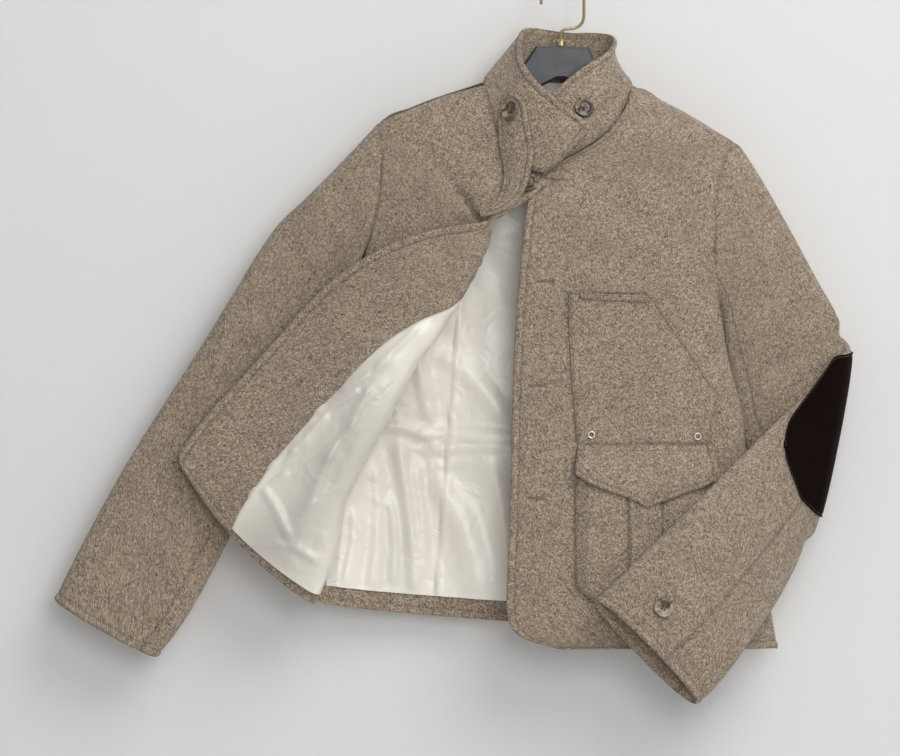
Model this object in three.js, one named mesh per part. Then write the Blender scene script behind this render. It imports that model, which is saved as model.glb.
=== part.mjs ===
// A hip-length tweed work jacket hanging open on its hanger.
// Millimetres, +Z up. The viewer stands at -Y, the wall is at +Y, and the origin is the
// inner top of the hanger hook's arc. "Right" and "left" pieces are the wearer's:
// the right side of the jacket lies at -X and the left side at +X.

import * as THREE from "three";

// Driving sizes

const CLOTH = 1.6; // tweed
const LINING = 1.0; // satin
const FACING = 1.2; // tweed facing
const SUEDE = 1.4; // elbow patches
const COLLAR_CLOTH = 3.0; // two tweeds and an interlining
const SEAM_GAP = 0.4; // between neighbouring pieces at a seam
const LAY_GAP = 0.35; // between a piece and what it lies on
const ARMHOLE_GAP = 1.2;
const ROUNDNESS = 2.5; // exponent of the body's cross-section
const SHOULDER_ROLL = 80; // height over which the front and back part below the shoulder seam
const FACING_WIDTH = 90;
const FOLD_BEND = 12; // bend radius of the folded left sleeve
const WIRE = 3.5; // hook wire
const HOOK_RADIUS = 23; // hook arc, to the wire's centre
const BUTTON_RADIUS = 10.5;
const BUTTON_THICK = 4;

// Finishes

const finish = (color, roughness, metalness = 0) => new THREE.MeshStandardMaterial({
  color,
  roughness,
  metalness,
  side: THREE.DoubleSide,
});
const TWEED = finish(0x8c7f6e, 0.95);
const SATIN = finish(0xcdc5bb, 0.45);
const SUEDE_FINISH = finish(0x1c130f, 0.9);
const HORN = finish(0x5a4030, 0.4);
const METAL = finish(0x6f6350, 0.45, 0.9);
const PLASTIC = finish(0x3b3b42, 0.45);
const BRASS = finish(0xb08d4a, 0.35, 1);

// Tables are rows of numbers under named columns. A reader follows one column by another
// with a smooth curve that doesn't overshoot.

const table = (columns, ...rows) => rows.map((row) => {
  const entries = columns.map((name, index) => [name, row[index]]);
  return Object.fromEntries(entries);
});

function reader(rows, key, value) {
  const sorted = [...rows].sort((a, b) => a[key] - b[key]);
  const xs = sorted.map((row) => row[key]);
  const ys = sorted.map((row) => row[value]);
  const last = xs.length - 1;
  const chords = ys.slice(1).map((y, i) => (y - ys[i]) / (xs[i + 1] - xs[i]));
  const slopes = ys.map((_, i) => {
    if (i === 0) return chords[0];
    if (i === last) return chords[last - 1];
    const before = chords[i - 1];
    const after = chords[i];
    return before * after <= 0 ? 0 : (2 * before * after) / (before + after);
  });
  return (x) => {
    if (x <= xs[0]) return ys[0];
    if (x >= xs[last]) return ys[last];
    let i = 0;
    while (x > xs[i + 1]) i += 1;
    const span = xs[i + 1] - xs[i];
    const f = (x - xs[i]) / span;
    const rise = f * f * (3 - 2 * f);
    const early = f * (1 - f) * (1 - f) * span;
    const late = f * f * (f - 1) * span;
    return ys[i] * (1 - rise) + ys[i + 1] * rise + slopes[i] * early + slopes[i + 1] * late;
  };
}

const clamp = THREE.MathUtils.clamp;
const mix = THREE.MathUtils.lerp;
const ease = THREE.MathUtils.smoothstep;
const vec = (x, y, z) => new THREE.Vector3(x, y, z);

// Outlines of the body, seen from the front

const shoulderLine = table(["x", "z"],
  [-215, -172], [-199, -161], [-177, -150], [-154, -141], [-132, -132], [-105, -123],
  [-85, -116], [-70, -96], [-40, -60], [0, -45], [40, -60], [60, -95],
  [76, -120], [100, -133], [134, -150], [161, -167], [191, -185], [210, -198]);
const shoulderZ = reader(shoulderLine, "x", "z");

const RIGHT_NECK = { x: -85, z: -116 };
const RIGHT_TIP = { x: -199, z: -161 };
const RIGHT_PIT = -385;
const RIGHT_HEM = -673;
const LEFT_NECK = { x: 76, z: -120 };
const LEFT_TIP = { x: 191, z: -185 };
const LEFT_PIT = -358;
const LEFT_HEM = -727;

// Armhole seam above the armpit, side seam below it
const rightOutline = reader(table(["z", "x"],
  [-161, -199], [-181, -195], [-200, -194], [-230, -196], [-257, -200], [-303, -214],
  [-342, -223], [-385, -227], [-460, -242], [-546, -256], [-616, -266], [-673, -271]), "z", "x");
const leftOutline = reader(table(["z", "x"],
  [-185, 191], [-190, 180], [-209, 171], [-228, 167], [-255, 164], [-313, 163],
  [-358, 167], [-396, 171], [-428, 177], [-482, 188], [-515, 193], [-600, 209],
  [-686, 225], [-727, 232]), "z", "x");

// Half-girth each way: past the armhole above the armpit, at the side seam below it
const rightGirth = reader(table(["z", "x"],
  [-161, -214], [-260, -224], [-340, -231], [-385, -227], [-460, -242], [-546, -256],
  [-616, -266], [-673, -271]), "z", "x");
const leftGirth = reader(table(["z", "x"],
  [-185, 206], [-255, 202], [-320, 188], [-358, 167], [-396, 171], [-428, 177],
  [-482, 188], [-515, 193], [-600, 209], [-686, 225], [-727, 232]), "z", "x");

const depths = table(["z", "front", "back"],
  [-100, 24, 22], [-200, 29, 27], [-300, 33, 30], [-450, 35, 31], [-600, 37, 31],
  [-730, 36, 30]);
const FRONT = { side: -1, depth: reader(depths, "z", "front") };
const BACK = { side: 1, depth: reader(depths, "z", "back") };

// Largest soft folds in the hanging panels: a ridge from one end to the other
const bodyFolds = table(["panel", "x1", "z1", "x2", "z2", "width", "rise"],
  [-1, 120, -190, 60, -330, 26, 3], [-1, 0, -560, -30, -720, 34, 4],
  [-1, 90, -600, 80, -720, 36, 3], [-1, 190, -560, 205, -720, 20, 3],
  [1, -120, -190, -60, -420, 30, 4], [1, 110, -200, 60, -430, 30, 4],
  [1, -150, -480, -170, -690, 34, 5], [1, -40, -430, -30, -690, 38, -4],
  [1, 80, -470, 95, -700, 36, 5], [1, 180, -480, 190, -700, 24, 3]);

function ridge(fold, x, z) {
  const dx = fold.x2 - fold.x1;
  const dz = fold.z2 - fold.z1;
  const length = Math.hypot(dx, dz);
  const along = ((x - fold.x1) * dx + (z - fold.z1) * dz) / length;
  const across = ((x - fold.x1) * dz - (z - fold.z1) * dx) / length;
  const past = Math.max(-along, along - length, 0);
  return fold.rise * Math.exp(-((across / fold.width) ** 2) - ((past / fold.width) ** 2));
}

// Depth of the front or back panel at a place, zero at the shoulder and side seams
function bodyY(panel, x, z) {
  const right = rightGirth(z);
  const left = leftGirth(z);
  const middle = (left + right) / 2;
  const across = clamp(Math.abs((x - middle) / ((left - right) / 2)), 0, 1);
  const round = (1 - across ** ROUNDNESS) ** (1 / ROUNDNESS);
  const below = clamp((shoulderZ(x) - z) / SHOULDER_ROLL, 0, 1);
  const closing = Math.sqrt(1 - (1 - below) ** 2);
  const folds = bodyFolds
    .filter((fold) => fold.panel === panel.side)
    .reduce((sum, fold) => sum + ridge(fold, x, z), 0);
  return panel.side * (SEAM_GAP / 2 + (panel.depth(z) + folds) * round * closing);
}

function bodyNormal(panel, x, z) {
  const step = 0.5;
  const slopeX = (bodyY(panel, x + step, z) - bodyY(panel, x - step, z)) / (2 * step);
  const slopeZ = (bodyY(panel, x, z + step) - bodyY(panel, x, z - step)) / (2 * step);
  const normal = vec(-slopeX, 1, -slopeZ).multiplyScalar(panel.side).normalize();
  const atSeam = Math.abs(bodyY(panel, x, z)) < 1;
  return atSeam ? normal.setY(0).normalize() : normal;
}

// A surface is a function of two fractions, with its outward normal found beside it

function surface(pointAt, side = 1, normalAt = null) {
  const step = 0.004;
  const ownNormal = (u, v) => {
    const u0 = Math.max(u - step, 0);
    const u1 = Math.min(u + step, 1);
    const v0 = Math.max(v - step, 0);
    const v1 = Math.min(v + step, 1);
    const acrossU = pointAt(u1, v).sub(pointAt(u0, v));
    const acrossV = pointAt(u, v1).sub(pointAt(u, v0));
    return acrossU.cross(acrossV).normalize().multiplyScalar(side);
  };
  return (u, v) => {
    const normal = (normalAt && normalAt(u, v)) || ownNormal(u, v);
    return { point: pointAt(u, v), normal };
  };
}

// A cloth wall between two offsets from a surface, on a grid of rows (u) and columns (v)
function wall(face, rows, columns, outer, inner) {
  const us = Array.isArray(rows) ? rows : fractions(rows);
  const vs = Array.isArray(columns) ? columns : fractions(columns);
  const width = vs.length;
  const sheet = us.length * width;
  const positions = new Float32Array(sheet * 6);
  const cells = us.map((u) => vs.map((v) => face(u, v)));
  cells.flat().forEach(({ point, normal }, index) => {
    point.clone().addScaledVector(normal, outer).toArray(positions, index * 3);
    point.clone().addScaledVector(normal, inner).toArray(positions, (index + sheet) * 3);
  });
  const indices = [];
  const quad = (a, b, c, d) => indices.push(a, b, c, a, c, d);
  for (let row = 0; row < us.length - 1; row += 1) {
    for (let column = 0; column < width - 1; column += 1) {
      const a = row * width + column;
      quad(a, a + width, a + width + 1, a + 1);
      quad(a + sheet, a + 1 + sheet, a + width + 1 + sheet, a + width + sheet);
    }
  }
  const rim = [
    ...vs.slice(1).map((_, i) => [i, i + 1]),
    ...us.slice(1).map((_, i) => [i * width + width - 1, (i + 1) * width + width - 1]),
    ...vs.slice(1).map((_, i) => [sheet - 1 - i, sheet - 2 - i]),
    ...us.slice(1).map((_, i) => [(us.length - 1 - i) * width, (us.length - 2 - i) * width]),
  ];
  rim.forEach(([a, b]) => quad(a, b, b + sheet, a + sheet));
  const geometry = new THREE.BufferGeometry();
  geometry.setAttribute("position", new THREE.BufferAttribute(positions, 3));
  geometry.setIndex(indices);
  return facingOut(geometry);
}

const fractions = (count) => Array.from({ length: count + 1 }, (_, i) => i / count);

// Turns a closed body the right way round where its rows and columns run left-handed
function facingOut(geometry) {
  const position = geometry.getAttribute("position");
  const index = geometry.getIndex();
  const [a, b, c] = [vec(0, 0, 0), vec(0, 0, 0), vec(0, 0, 0)];
  let volume = 0;
  for (let i = 0; i < index.count; i += 3) {
    a.fromBufferAttribute(position, index.getX(i));
    b.fromBufferAttribute(position, index.getX(i + 1));
    c.fromBufferAttribute(position, index.getX(i + 2));
    volume += a.dot(b.cross(c)) / 6;
  }
  if (volume < 0) {
    for (let i = 0; i < index.count; i += 3) {
      const second = index.getX(i + 1);
      index.setX(i + 1, index.getX(i + 2));
      index.setX(i + 2, second);
    }
  }
  geometry.computeVertexNormals();
  return geometry;
}

const jacket = new THREE.Group();

function add(name, geometry, material) {
  const mesh = new THREE.Mesh(geometry, material);
  mesh.name = name;
  jacket.add(mesh);
  return mesh;
}

// A point of a body panel between two places on it, spaced evenly round the section
function acrossBody(panel, from, to, v, arch) {
  const z = mix(from.z, to.z, v);
  const right = rightGirth(z);
  const left = leftGirth(z);
  const middle = (left + right) / 2;
  const half = (left - right) / 2;
  const startAngle = Math.acos(clamp((from.x - middle) / half, -1, 1));
  const endAngle = Math.acos(clamp((to.x - middle) / half, -1, 1));
  const s = Math.cos(mix(startAngle, endAngle, v));
  return { x: middle + half * s, z: z + arch * (1 - (2 * v - 1) ** 2) };
}

const onBody = (panel, place) => vec(place.x, bodyY(panel, place.x, place.z), place.z);

// Back: neckline, shoulders, armholes, sides and hem

const SHOULDER_END = 0.2;
const ARMHOLE_END = 0.5;

function edgeOfBack(neck, tip, pit, hem, outline, v) {
  if (v < SHOULDER_END) {
    const x = mix(neck.x, tip.x, v / SHOULDER_END);
    return { x, z: shoulderZ(x) };
  }
  const [top, bottom, start, end] = v < ARMHOLE_END
    ? [tip.z, pit, SHOULDER_END, ARMHOLE_END]
    : [pit, hem, ARMHOLE_END, 1];
  const z = mix(top, bottom, (v - start) / (end - start));
  return { x: outline(z), z };
}

const NECK_ARCH = 15; // how far the back's top edge rises in the middle
const HEM_ARCH = 2; // how far its hem dips there

function backPlace(u, v) {
  const right = edgeOfBack(RIGHT_NECK, RIGHT_TIP, RIGHT_PIT, RIGHT_HEM, rightOutline, u);
  const left = edgeOfBack(LEFT_NECK, LEFT_TIP, LEFT_PIT, LEFT_HEM, leftOutline, u);
  const arch = NECK_ARCH * (1 - ease(u, 0, SHOULDER_END)) - HEM_ARCH * u;
  return acrossBody(BACK, right, left, v, arch);
}

const back = surface(
  (u, v) => onBody(BACK, backPlace(u, v)),
  1,
  (u, v) => {
    const place = backPlace(u, v);
    return bodyNormal(BACK, place.x, place.z);
  },
);
const BACK_ROWS = 22;
const BACK_COLUMNS = 16;
add("back", wall(back, BACK_ROWS, BACK_COLUMNS, 0, -CLOTH), TWEED);

// Back lining: inside the back, short of its hem, its neckline and its side seams
const LINING_TOP = 1;
const liningRows = fractions(BACK_ROWS)
  .slice(LINING_TOP, BACK_ROWS)
  .concat([0.968]);
const liningColumns = fractions(BACK_COLUMNS).slice(2, BACK_COLUMNS - 1);
const liningOuter = -CLOTH - LAY_GAP;
add(
  "back_lining",
  wall(back, liningRows, liningColumns, liningOuter, liningOuter - LINING),
  SATIN,
);

// Left front: the buttonhole side, hanging straight

const leftEdge = reader(table(["z", "x"],
  [-123, 74], [-142, 69], [-163, 55], [-180, 38], [-191, 20], [-201, 1], [-209, -17],
  [-222, -29], [-252, -40], [-285, -43], [-334, -48], [-433, -54], [-562, -57],
  [-690, -61], [-702, -57], [-714, -45], [-721, -26], [-725, -3]), "z", "x");
const leftShoulderX = reader(table(["z", "x"],
  [-120, 76], [-133, 100], [-150, 134], [-167, 161], [-185, 191]), "z", "x");
const LEFT_FRONT_TOP = -123.5;
const LEFT_FRONT_HEM = -727;

function leftFrontPlace(u, v) {
  const z = mix(LEFT_FRONT_TOP, LEFT_FRONT_HEM, u);
  const from = { x: leftEdge(z), z };
  const to = { x: z > LEFT_TIP.z ? leftShoulderX(z) : leftOutline(z), z };
  return acrossBody(FRONT, from, to, v, 0);
}

const leftFront = surface(
  (u, v) => onBody(FRONT, leftFrontPlace(u, v)),
  1,
  (u, v) => {
    const place = leftFrontPlace(u, v);
    return bodyNormal(FRONT, place.x, place.z);
  },
);
const leftFrontRows = [
  0, 0.025, 0.055, 0.085, 0.102, 0.112, 0.13, 0.155, 0.185,
  ...fractions(20).slice(5, 19), 0.93, 0.958, 0.975, 0.99, 1,
];
add("left_front", wall(leftFront, leftFrontRows, 13, 0, -CLOTH), TWEED);

// Right front: one panel whose button edge is folded out and back over the right sleeve.
// A row runs from the front edge, over the roll, to the shoulder, armhole or side seam.

const rightFrontRows = table(
  ["edgeX", "edgeZ", "rollX", "rollZ", "endX", "endZ", "lift", "edgeY", "bow"],
  [-15, -225, -42, -215, -87, -121, 0, -36, 0],
  [-32, -240, -53, -233, -125, -131, 0, -38, 0],
  [-53, -254, -64, -251, -165, -146, 3, -42, 0],
  [-72, -265, -73, -270, -197, -162, 9, -46, 0],
  [-98, -271, -83, -297, -194, -200, 16, -52, 2],
  [-136, -277, -98, -328, -197, -238, 22, -54, 3],
  [-175, -289, -117, -360, -205, -280, 24, -52, 3],
  [-211, -306, -138, -393, -218, -325, 26, -46, 3],
  [-248, -332, -160, -422, -226, -380, 28, -38, 2],
  [-282, -365, -176, -452, -234, -422, 28, -32, 2],
  [-313, -400, -189, -478, -242, -462, 28, -28, 2],
  [-342, -432, -205, -507, -249, -503, 28, -26, 3],
  [-370, -462, -221, -538, -255, -540, 27, -25, 4],
  [-392, -488, -236, -570, -261, -578, 26, -24, 5],
  [-405, -506, -243, -602, -265, -612, 25, -24, 7],
  [-413, -519, -252, -638, -269, -646, 24, -24, 9],
  [-411, -530, -269, -679, -271, -673, 22, -24, 12],
);
const STATIONS = rightFrontRows.length - 1;
const stationed = rightFrontRows.map((row, index) => ({ ...row, index }));
const rightRow = Object.fromEntries(
  Object.keys(rightFrontRows[0]).map((name) => [name, reader(stationed, "index", name)]),
);
const TURN_START = 2.2;
const TURN_END = 3.6;
const ROW_STEPS = 96;
const ROLL_REACH = 0.55; // from the roll line to where the roll starts, as a share of its lift
const BEND_COLUMNS = 22; // length that a bend of one radian counts for when columns are spread
const FACING_LIMIT = 0.6; // the facing's largest share of a short row
const NECK_SAG = 12; // how far the neckline curves below a straight line

// The row's line through space, as evenly spaced steps from the front edge to its end
function rightFrontRow(u) {
  const at = u * STATIONS;
  const row = Object.fromEntries(Object.entries(rightRow).map(([name, read]) => [name, read(at)]));
  const edge = vec(row.edgeX, row.edgeY, row.edgeZ);
  const roll = vec(row.rollX, bodyY(FRONT, row.rollX, row.rollZ), row.rollZ);
  const end = vec(row.endX, 0, row.endZ);
  const toEdge = vec(edge.x - roll.x, 0, edge.z - roll.z);
  const toEnd = vec(end.x - roll.x, 0, end.z - roll.z);
  const flapLength = toEdge.length();
  const baseLength = toEnd.length();
  toEdge.normalize();
  toEnd.normalize();
  const reach = Math.min(row.lift * ROLL_REACH, baseLength / 2, flapLength / 2);
  const sideways = vec(-toEdge.z, 0, toEdge.x);
  const folded = [];
  const flat = [];
  const flapSteps = ROW_STEPS / 3;
  for (let step = 0; step <= ROW_STEPS; step += 1) {
    const stretch = Math.min(Math.floor(step / flapSteps), 2);
    const f = step / flapSteps - stretch;
    let point;
    if (stretch === 0) {
      const along = mix(flapLength, reach, f);
      const near = 1 - along / flapLength;
      point = roll.clone().addScaledVector(toEdge, along);
      point.addScaledVector(sideways, row.bow * 4 * near * (1 - near));
      point.y = mix(edge.y, roll.y - row.lift, ease(near, 0, 1 - reach / flapLength));
    } else if (stretch === 1) {
      const angle = Math.PI * (f - 0.5);
      const direction = toEdge.clone().lerp(toEnd, ease(f, 0, 1)).normalize();
      point = roll.clone().addScaledVector(direction, reach * (1 - Math.cos(angle)));
      const under = bodyY(FRONT, point.x, point.z);
      point.y = mix(roll.y - row.lift, under, (1 + Math.sin(angle)) / 2);
    } else {
      point = roll.clone().addScaledVector(toEnd, mix(reach, baseLength, f));
      point.y = bodyY(FRONT, point.x, point.z);
    }
    folded.push(point);
    const place = edge.clone().lerp(end, step / ROW_STEPS);
    const middle = Math.sin((Math.PI * step) / ROW_STEPS);
    const sag = NECK_SAG * (1 - ease(at, 0, 2)) * middle;
    place.x -= sag;
    place.z -= sag;
    place.y = mix(bodyY(FRONT, place.x, place.z), edge.y, (1 - step / ROW_STEPS) ** 3);
    flat.push(place);
  }
  const turned = ease(at, TURN_START, TURN_END);
  const path = flat.map((point, index) => point.lerp(folded[index], turned));
  const run = [0];
  const load = [0];
  for (let i = 1; i < path.length; i += 1) {
    const length = path[i].distanceTo(path[i - 1]);
    const before = path[Math.max(i - 2, 0)];
    const ahead = path[i].clone().sub(path[i - 1]).normalize();
    const behind = path[i - 1].clone().sub(before).normalize();
    const bend = i > 1 ? Math.acos(clamp(ahead.dot(behind), -1, 1)) : 0;
    run.push(run[i - 1] + length);
    load.push(load[i - 1] + length + BEND_COLUMNS * bend);
  }
  return { path, run, load };
}

const lookUp = (xs, ys, x) => {
  let i = 0;
  while (i < xs.length - 2 && x > xs[i + 1]) i += 1;
  const f = clamp((x - xs[i]) / (xs[i + 1] - xs[i]), 0, 1);
  return ys[i] instanceof THREE.Vector3 ? ys[i].clone().lerp(ys[i + 1], f) : mix(ys[i], ys[i + 1], f);
};

const FACING_SHARE = 0.3; // of the columns, from the front edge to the facing's inner edge
const rowCache = new Map();

function rightFrontPoint(u, v) {
  if (!rowCache.has(u)) rowCache.set(u, rightFrontRow(u));
  const { path, run, load } = rowCache.get(u);
  const facingLoad = lookUp(run, load, Math.min(FACING_WIDTH, run.at(-1) * FACING_LIMIT));
  const target = v < FACING_SHARE
    ? mix(0, facingLoad, v / FACING_SHARE)
    : mix(facingLoad, load.at(-1), (v - FACING_SHARE) / (1 - FACING_SHARE));
  return lookUp(load, path, target);
}

const rightFront = surface(rightFrontPoint, -1, (u, v) => {
  if (v < 1) return null;
  const point = rightFrontPoint(u, v);
  return bodyNormal(FRONT, point.x, point.z);
});
const rowsBetween = [2.4, 2.8, 3.5, 4.5, 5.5, 15.75].map((station) => station / STATIONS);
const rightRows = [...fractions(STATIONS), ...rowsBetween].sort((a, b) => a - b);
const rightColumns = 20;
const facingColumns = fractions(rightColumns).filter((v) => v <= FACING_SHARE + 1e-6);
const rightLiningColumns = fractions(rightColumns).filter((v) => v >= FACING_SHARE - 1e-6 && v < 0.93);
const insideFace = -CLOTH - LAY_GAP;
add("right_front", wall(rightFront, rightRows, rightColumns, 0, -CLOTH), TWEED);
add(
  "right_facing",
  wall(rightFront, rightRows.slice(1), facingColumns, insideFace, insideFace - FACING),
  TWEED,
);
const LINING_SET_BACK = 0.003; // keeps the lining's edge off the facing's
const LINING_EASE = 0.45;
add(
  "right_front_lining",
  wall(
    rightFront,
    rightRows.slice(2, -1),
    rightLiningColumns.map((v, i) => (i === 0 ? v + LINING_SET_BACK : v)),
    insideFace - LINING_EASE,
    insideFace - LINING_EASE - LINING,
  ),
  SATIN,
);

// Sleeves: rings of a flattened tube, from the armhole to the cuff. A ring has an outer end,
// on the elbow side, an inner end, the depth of its middle and half its thickness.

const RING_ROUNDNESS = 2.3;
const HIND_SEAM = THREE.MathUtils.degToRad(101.5);
const FORE_SEAM = THREE.MathUtils.degToRad(229);

const power = (value) => Math.sign(value) * Math.abs(value) ** (2 / RING_ROUNDNESS);

function ring(row) {
  const outer = vec(row.outX, row.y, row.outZ);
  const inner = vec(row.inX, row.y, row.inZ);
  const turn = row.turn || 0;
  const long = outer.clone().sub(inner).multiplyScalar(0.5);
  const outward = vec(-long.z, 0, long.x).normalize().multiplyScalar(-1);
  const angle = Math.PI * turn;
  const center = outer.add(inner).multiplyScalar(0.5);
  center.addScaledVector(outward, FOLD_BEND * Math.sin(angle));
  const short = vec(0, Math.cos(angle), 0).addScaledVector(outward, Math.sin(angle));
  return { center, long, short: short.multiplyScalar(row.thick) };
}

const smoothPath = (points) => {
  const curve = new THREE.CatmullRomCurve3(points, false, "catmullrom", 0.5);
  return (t) => curve.getPoint(clamp(t, 0, 1));
};

// The loop of the armhole seam at an angle round the sleeve
function armholePoint(arm, angle) {
  const fall = (1 - Math.cos(angle)) / 2;
  const z = mix(arm.tip.z, arm.pit, fall);
  const behind = Math.sin(angle) >= 0;
  const panel = behind ? BACK : FRONT;
  const x = arm.outline(z);
  const y = Math.abs(Math.sin(angle)) < 1e-6 ? 0 : bodyY(panel, x, z);
  return { point: vec(x + arm.away * ARMHOLE_GAP, y, z), normal: bodyNormal(panel, x, z) };
}

function sleeve(arm, rings) {
  const centers = smoothPath(rings.map((item) => item.center));
  const longs = smoothPath(rings.map((item) => item.long));
  const shorts = smoothPath(rings.map((item) => item.short));
  const last = rings.length - 1;
  const pointAt = (t, angle) => {
    const long = longs(t);
    const short = shorts(t);
    const point = centers(t)
      .addScaledVector(long, power(Math.cos(angle)))
      .addScaledVector(short, power(Math.sin(angle)));
    const cuffNear = ease(t * last, last - 1.2, last);
    const along = long.clone().cross(vec(0, 1, 0)).normalize().multiplyScalar(arm.cuffSide);
    point.addScaledVector(along, arm.cuffBow * cuffNear * Math.sin(angle) * arm.cuffBack);
    const cap = 1 - ease(t * last, 0, arm.capRings);
    return cap > 0 ? point.lerp(armholePoint(arm, angle).point, cap) : point;
  };
  return { pointAt, last };
}

// Part of a sleeve between two angles, with u down the sleeve and v round it
function sleevePanel(arm, shape, fromAngle, toAngle) {
  const angleAt = (v) => mix(fromAngle, toAngle, v);
  return surface(
    (u, v) => shape.pointAt(u, angleAt(v)),
    arm.handed,
    (u, v) => (u === 0 ? armholePoint(arm, angleAt(v)).normal : null),
  );
}

const seamAngle = SEAM_GAP / 2 / 16;
const TOP_FROM = FORE_SEAM - 2 * Math.PI + seamAngle;
const TOP_TO = HIND_SEAM - seamAngle;
const UNDER_FROM = HIND_SEAM + seamAngle;
const UNDER_TO = FORE_SEAM - seamAngle;
const TOP_COLUMNS = 13;
const UNDER_COLUMNS = 8;

// Right sleeve: straight down and out
const rightArm = {
  tip: RIGHT_TIP,
  pit: RIGHT_PIT,
  outline: rightOutline,
  away: -1,
  handed: -1,
  capRings: 3,
  cuffSide: -1,
  cuffBow: 4,
  cuffBack: 1,
};
const rightSleeve = sleeve(rightArm, table(["outX", "outZ", "inX", "inZ", "y", "thick"],
  [-199, -161, -229, -386, 2, 22], [-216, -180, -231, -389, 3, 22],
  [-243, -208, -234, -394, 4, 20], [-273, -238, -239, -402, 4, 18],
  [-306, -269, -246, -414, 4, 16], [-333, -308, -257, -432, 4, 15],
  [-372, -373, -272, -460, 4, 14], [-407, -428, -299, -505, 4, 13],
  [-438, -476, -325, -549, 4, 12], [-471, -529, -355, -599, 4, 12],
  [-498, -577, -380, -650, 3, 13], [-528, -634, -412, -704, 2, 14],
  [-548, -675, -438, -737, 2, 15]).map(ring));
const RIGHT_SLEEVE_ROWS = 15;
add(
  "right_sleeve_top",
  wall(sleevePanel(rightArm, rightSleeve, TOP_FROM, TOP_TO), RIGHT_SLEEVE_ROWS, TOP_COLUMNS, 0, -CLOTH),
  TWEED,
);
add(
  "right_sleeve_under",
  wall(sleevePanel(rightArm, rightSleeve, UNDER_FROM, UNDER_TO), RIGHT_SLEEVE_ROWS, UNDER_COLUMNS, 0, -CLOTH),
  TWEED,
);

// Left sleeve: down to the elbow, folded forward there and laid across the front
const leftArm = {
  tip: LEFT_TIP,
  pit: LEFT_PIT,
  outline: leftOutline,
  away: 1,
  handed: 1,
  capRings: 3,
  cuffSide: 1,
  cuffBow: 8,
  cuffBack: -1,
};
const FOLD_Y = -1;
const foldStart = { outX: 299, outZ: -387, inX: 252, inZ: -586 };
const foldEnd = { outX: 295, outZ: -412, inX: 261, inZ: -612 };
const FOLD_STEPS = 5;
const FOLD_THICK = 7.5;
const upperRings = table(["outX", "outZ", "inX", "inZ", "y", "thick"],
  [191, -185, 169, -359, 2, 22], [202, -200, 171, -364, 3, 21],
  [218, -226, 173, -377, 4, 20], [238, -262, 175, -399, 5, 17],
  [258, -298, 180, -430, 7, 14], [277, -333, 189, -468, 9, 12],
  [291, -356, 196, -508, 11, 10], [300, -375, 224, -550, 10, 8.5]);
const foldRings = fractions(FOLD_STEPS).map((turn) => ({
  outX: mix(foldStart.outX, foldEnd.outX, turn),
  outZ: mix(foldStart.outZ, foldEnd.outZ, turn),
  inX: mix(foldStart.inX, foldEnd.inX, turn),
  inZ: mix(foldStart.inZ, foldEnd.inZ, turn),
  y: FOLD_Y + FOLD_BEND * Math.cos(Math.PI * turn),
  thick: FOLD_THICK,
  turn,
}));
const foreRings = table(["outX", "outZ", "inX", "inZ", "y", "thick"],
  [268, -447, 252, -636, -16, 8], [236, -475, 232, -673, -24, 8],
  [205, -505, 214, -700, -36, 9], [171, -538, 196, -724, -48, 9],
  [137, -572, 180, -745, -57, 10], [102, -606, 166, -762, -62, 11],
  [66, -642, 154, -774, -64, 12], [33, -674, 141, -784, -64, 13])
  .map((row) => ({ ...row, turn: 1 }));
const leftSleeve = sleeve(leftArm, [...upperRings, ...foldRings, ...foreRings].map(ring));
const LEFT_LAST = leftSleeve.last;
const leftRows = [...fractions(LEFT_LAST), 6.5 / LEFT_LAST, 7.5 / LEFT_LAST, 13.5 / LEFT_LAST, 14.5 / LEFT_LAST]
  .sort((a, b) => a - b);
add(
  "left_sleeve_top",
  wall(sleevePanel(leftArm, leftSleeve, TOP_FROM, TOP_TO), leftRows, TOP_COLUMNS, 0, -CLOTH),
  TWEED,
);
add(
  "left_sleeve_under",
  wall(sleevePanel(leftArm, leftSleeve, UNDER_FROM, UNDER_TO), leftRows, UNDER_COLUMNS, 0, -CLOTH),
  TWEED,
);

// Elbow patches: ovals on the back of each sleeve. A station counts rings down the sleeve, and
// from and to are places across it, from 1 at the outer edge to -1 at the inner edge.
const PATCH_COLUMNS = 9;
const PATCH_LIFT = 0.9;

function elbowPatch(arm, shape, stations) {
  const first = stations[0].station;
  const last = stations.at(-1).station;
  const from = reader(stations, "station", "from");
  const to = reader(stations, "station", "to");
  const face = surface((u, v) => {
    const station = mix(first, last, u);
    const angle = mix(Math.acos(from(station)), Math.acos(to(station)), v);
    return shape.pointAt(station / shape.last, angle);
  }, arm.handed);
  const rows = stations.map(({ station }) => (station - first) / (last - first));
  return wall(face, rows, PATCH_COLUMNS, PATCH_LIFT + SUEDE, PATCH_LIFT);
}

const leftPatch = table(["station", "from", "to"],
  [6.3, 0.02, -0.42], [6.45, 0.14, -0.58], [6.7, 0.28, -0.7], [7, 0.42, -0.79],
  [7.5, 0.62, -0.85], [8, 0.76, -0.86], [9, 0.87, -0.84], [10, 0.92, -0.81],
  [11, 0.95, -0.78], [12, 0.97, -0.72], [13, 0.985, -0.62], [13.5, 0.985, -0.46],
  [14, 0.98, -0.24], [14.5, 0.92, 0.08], [14.75, 0.86, 0.3], [14.88, 0.78, 0.46]);
const rightPatch = table(["station", "from", "to"],
  [5.55, 0.25, -0.1], [5.7, 0.45, -0.28], [5.95, 0.6, -0.42], [6.3, 0.72, -0.55],
  [6.7, 0.78, -0.62], [7, 0.8, -0.64], [7.5, 0.76, -0.6], [7.9, 0.66, -0.5],
  [8.2, 0.52, -0.36], [8.4, 0.34, -0.16]);
add("left_elbow_patch", elbowPatch(leftArm, leftSleeve, leftPatch), SUEDE_FINISH);
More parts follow.
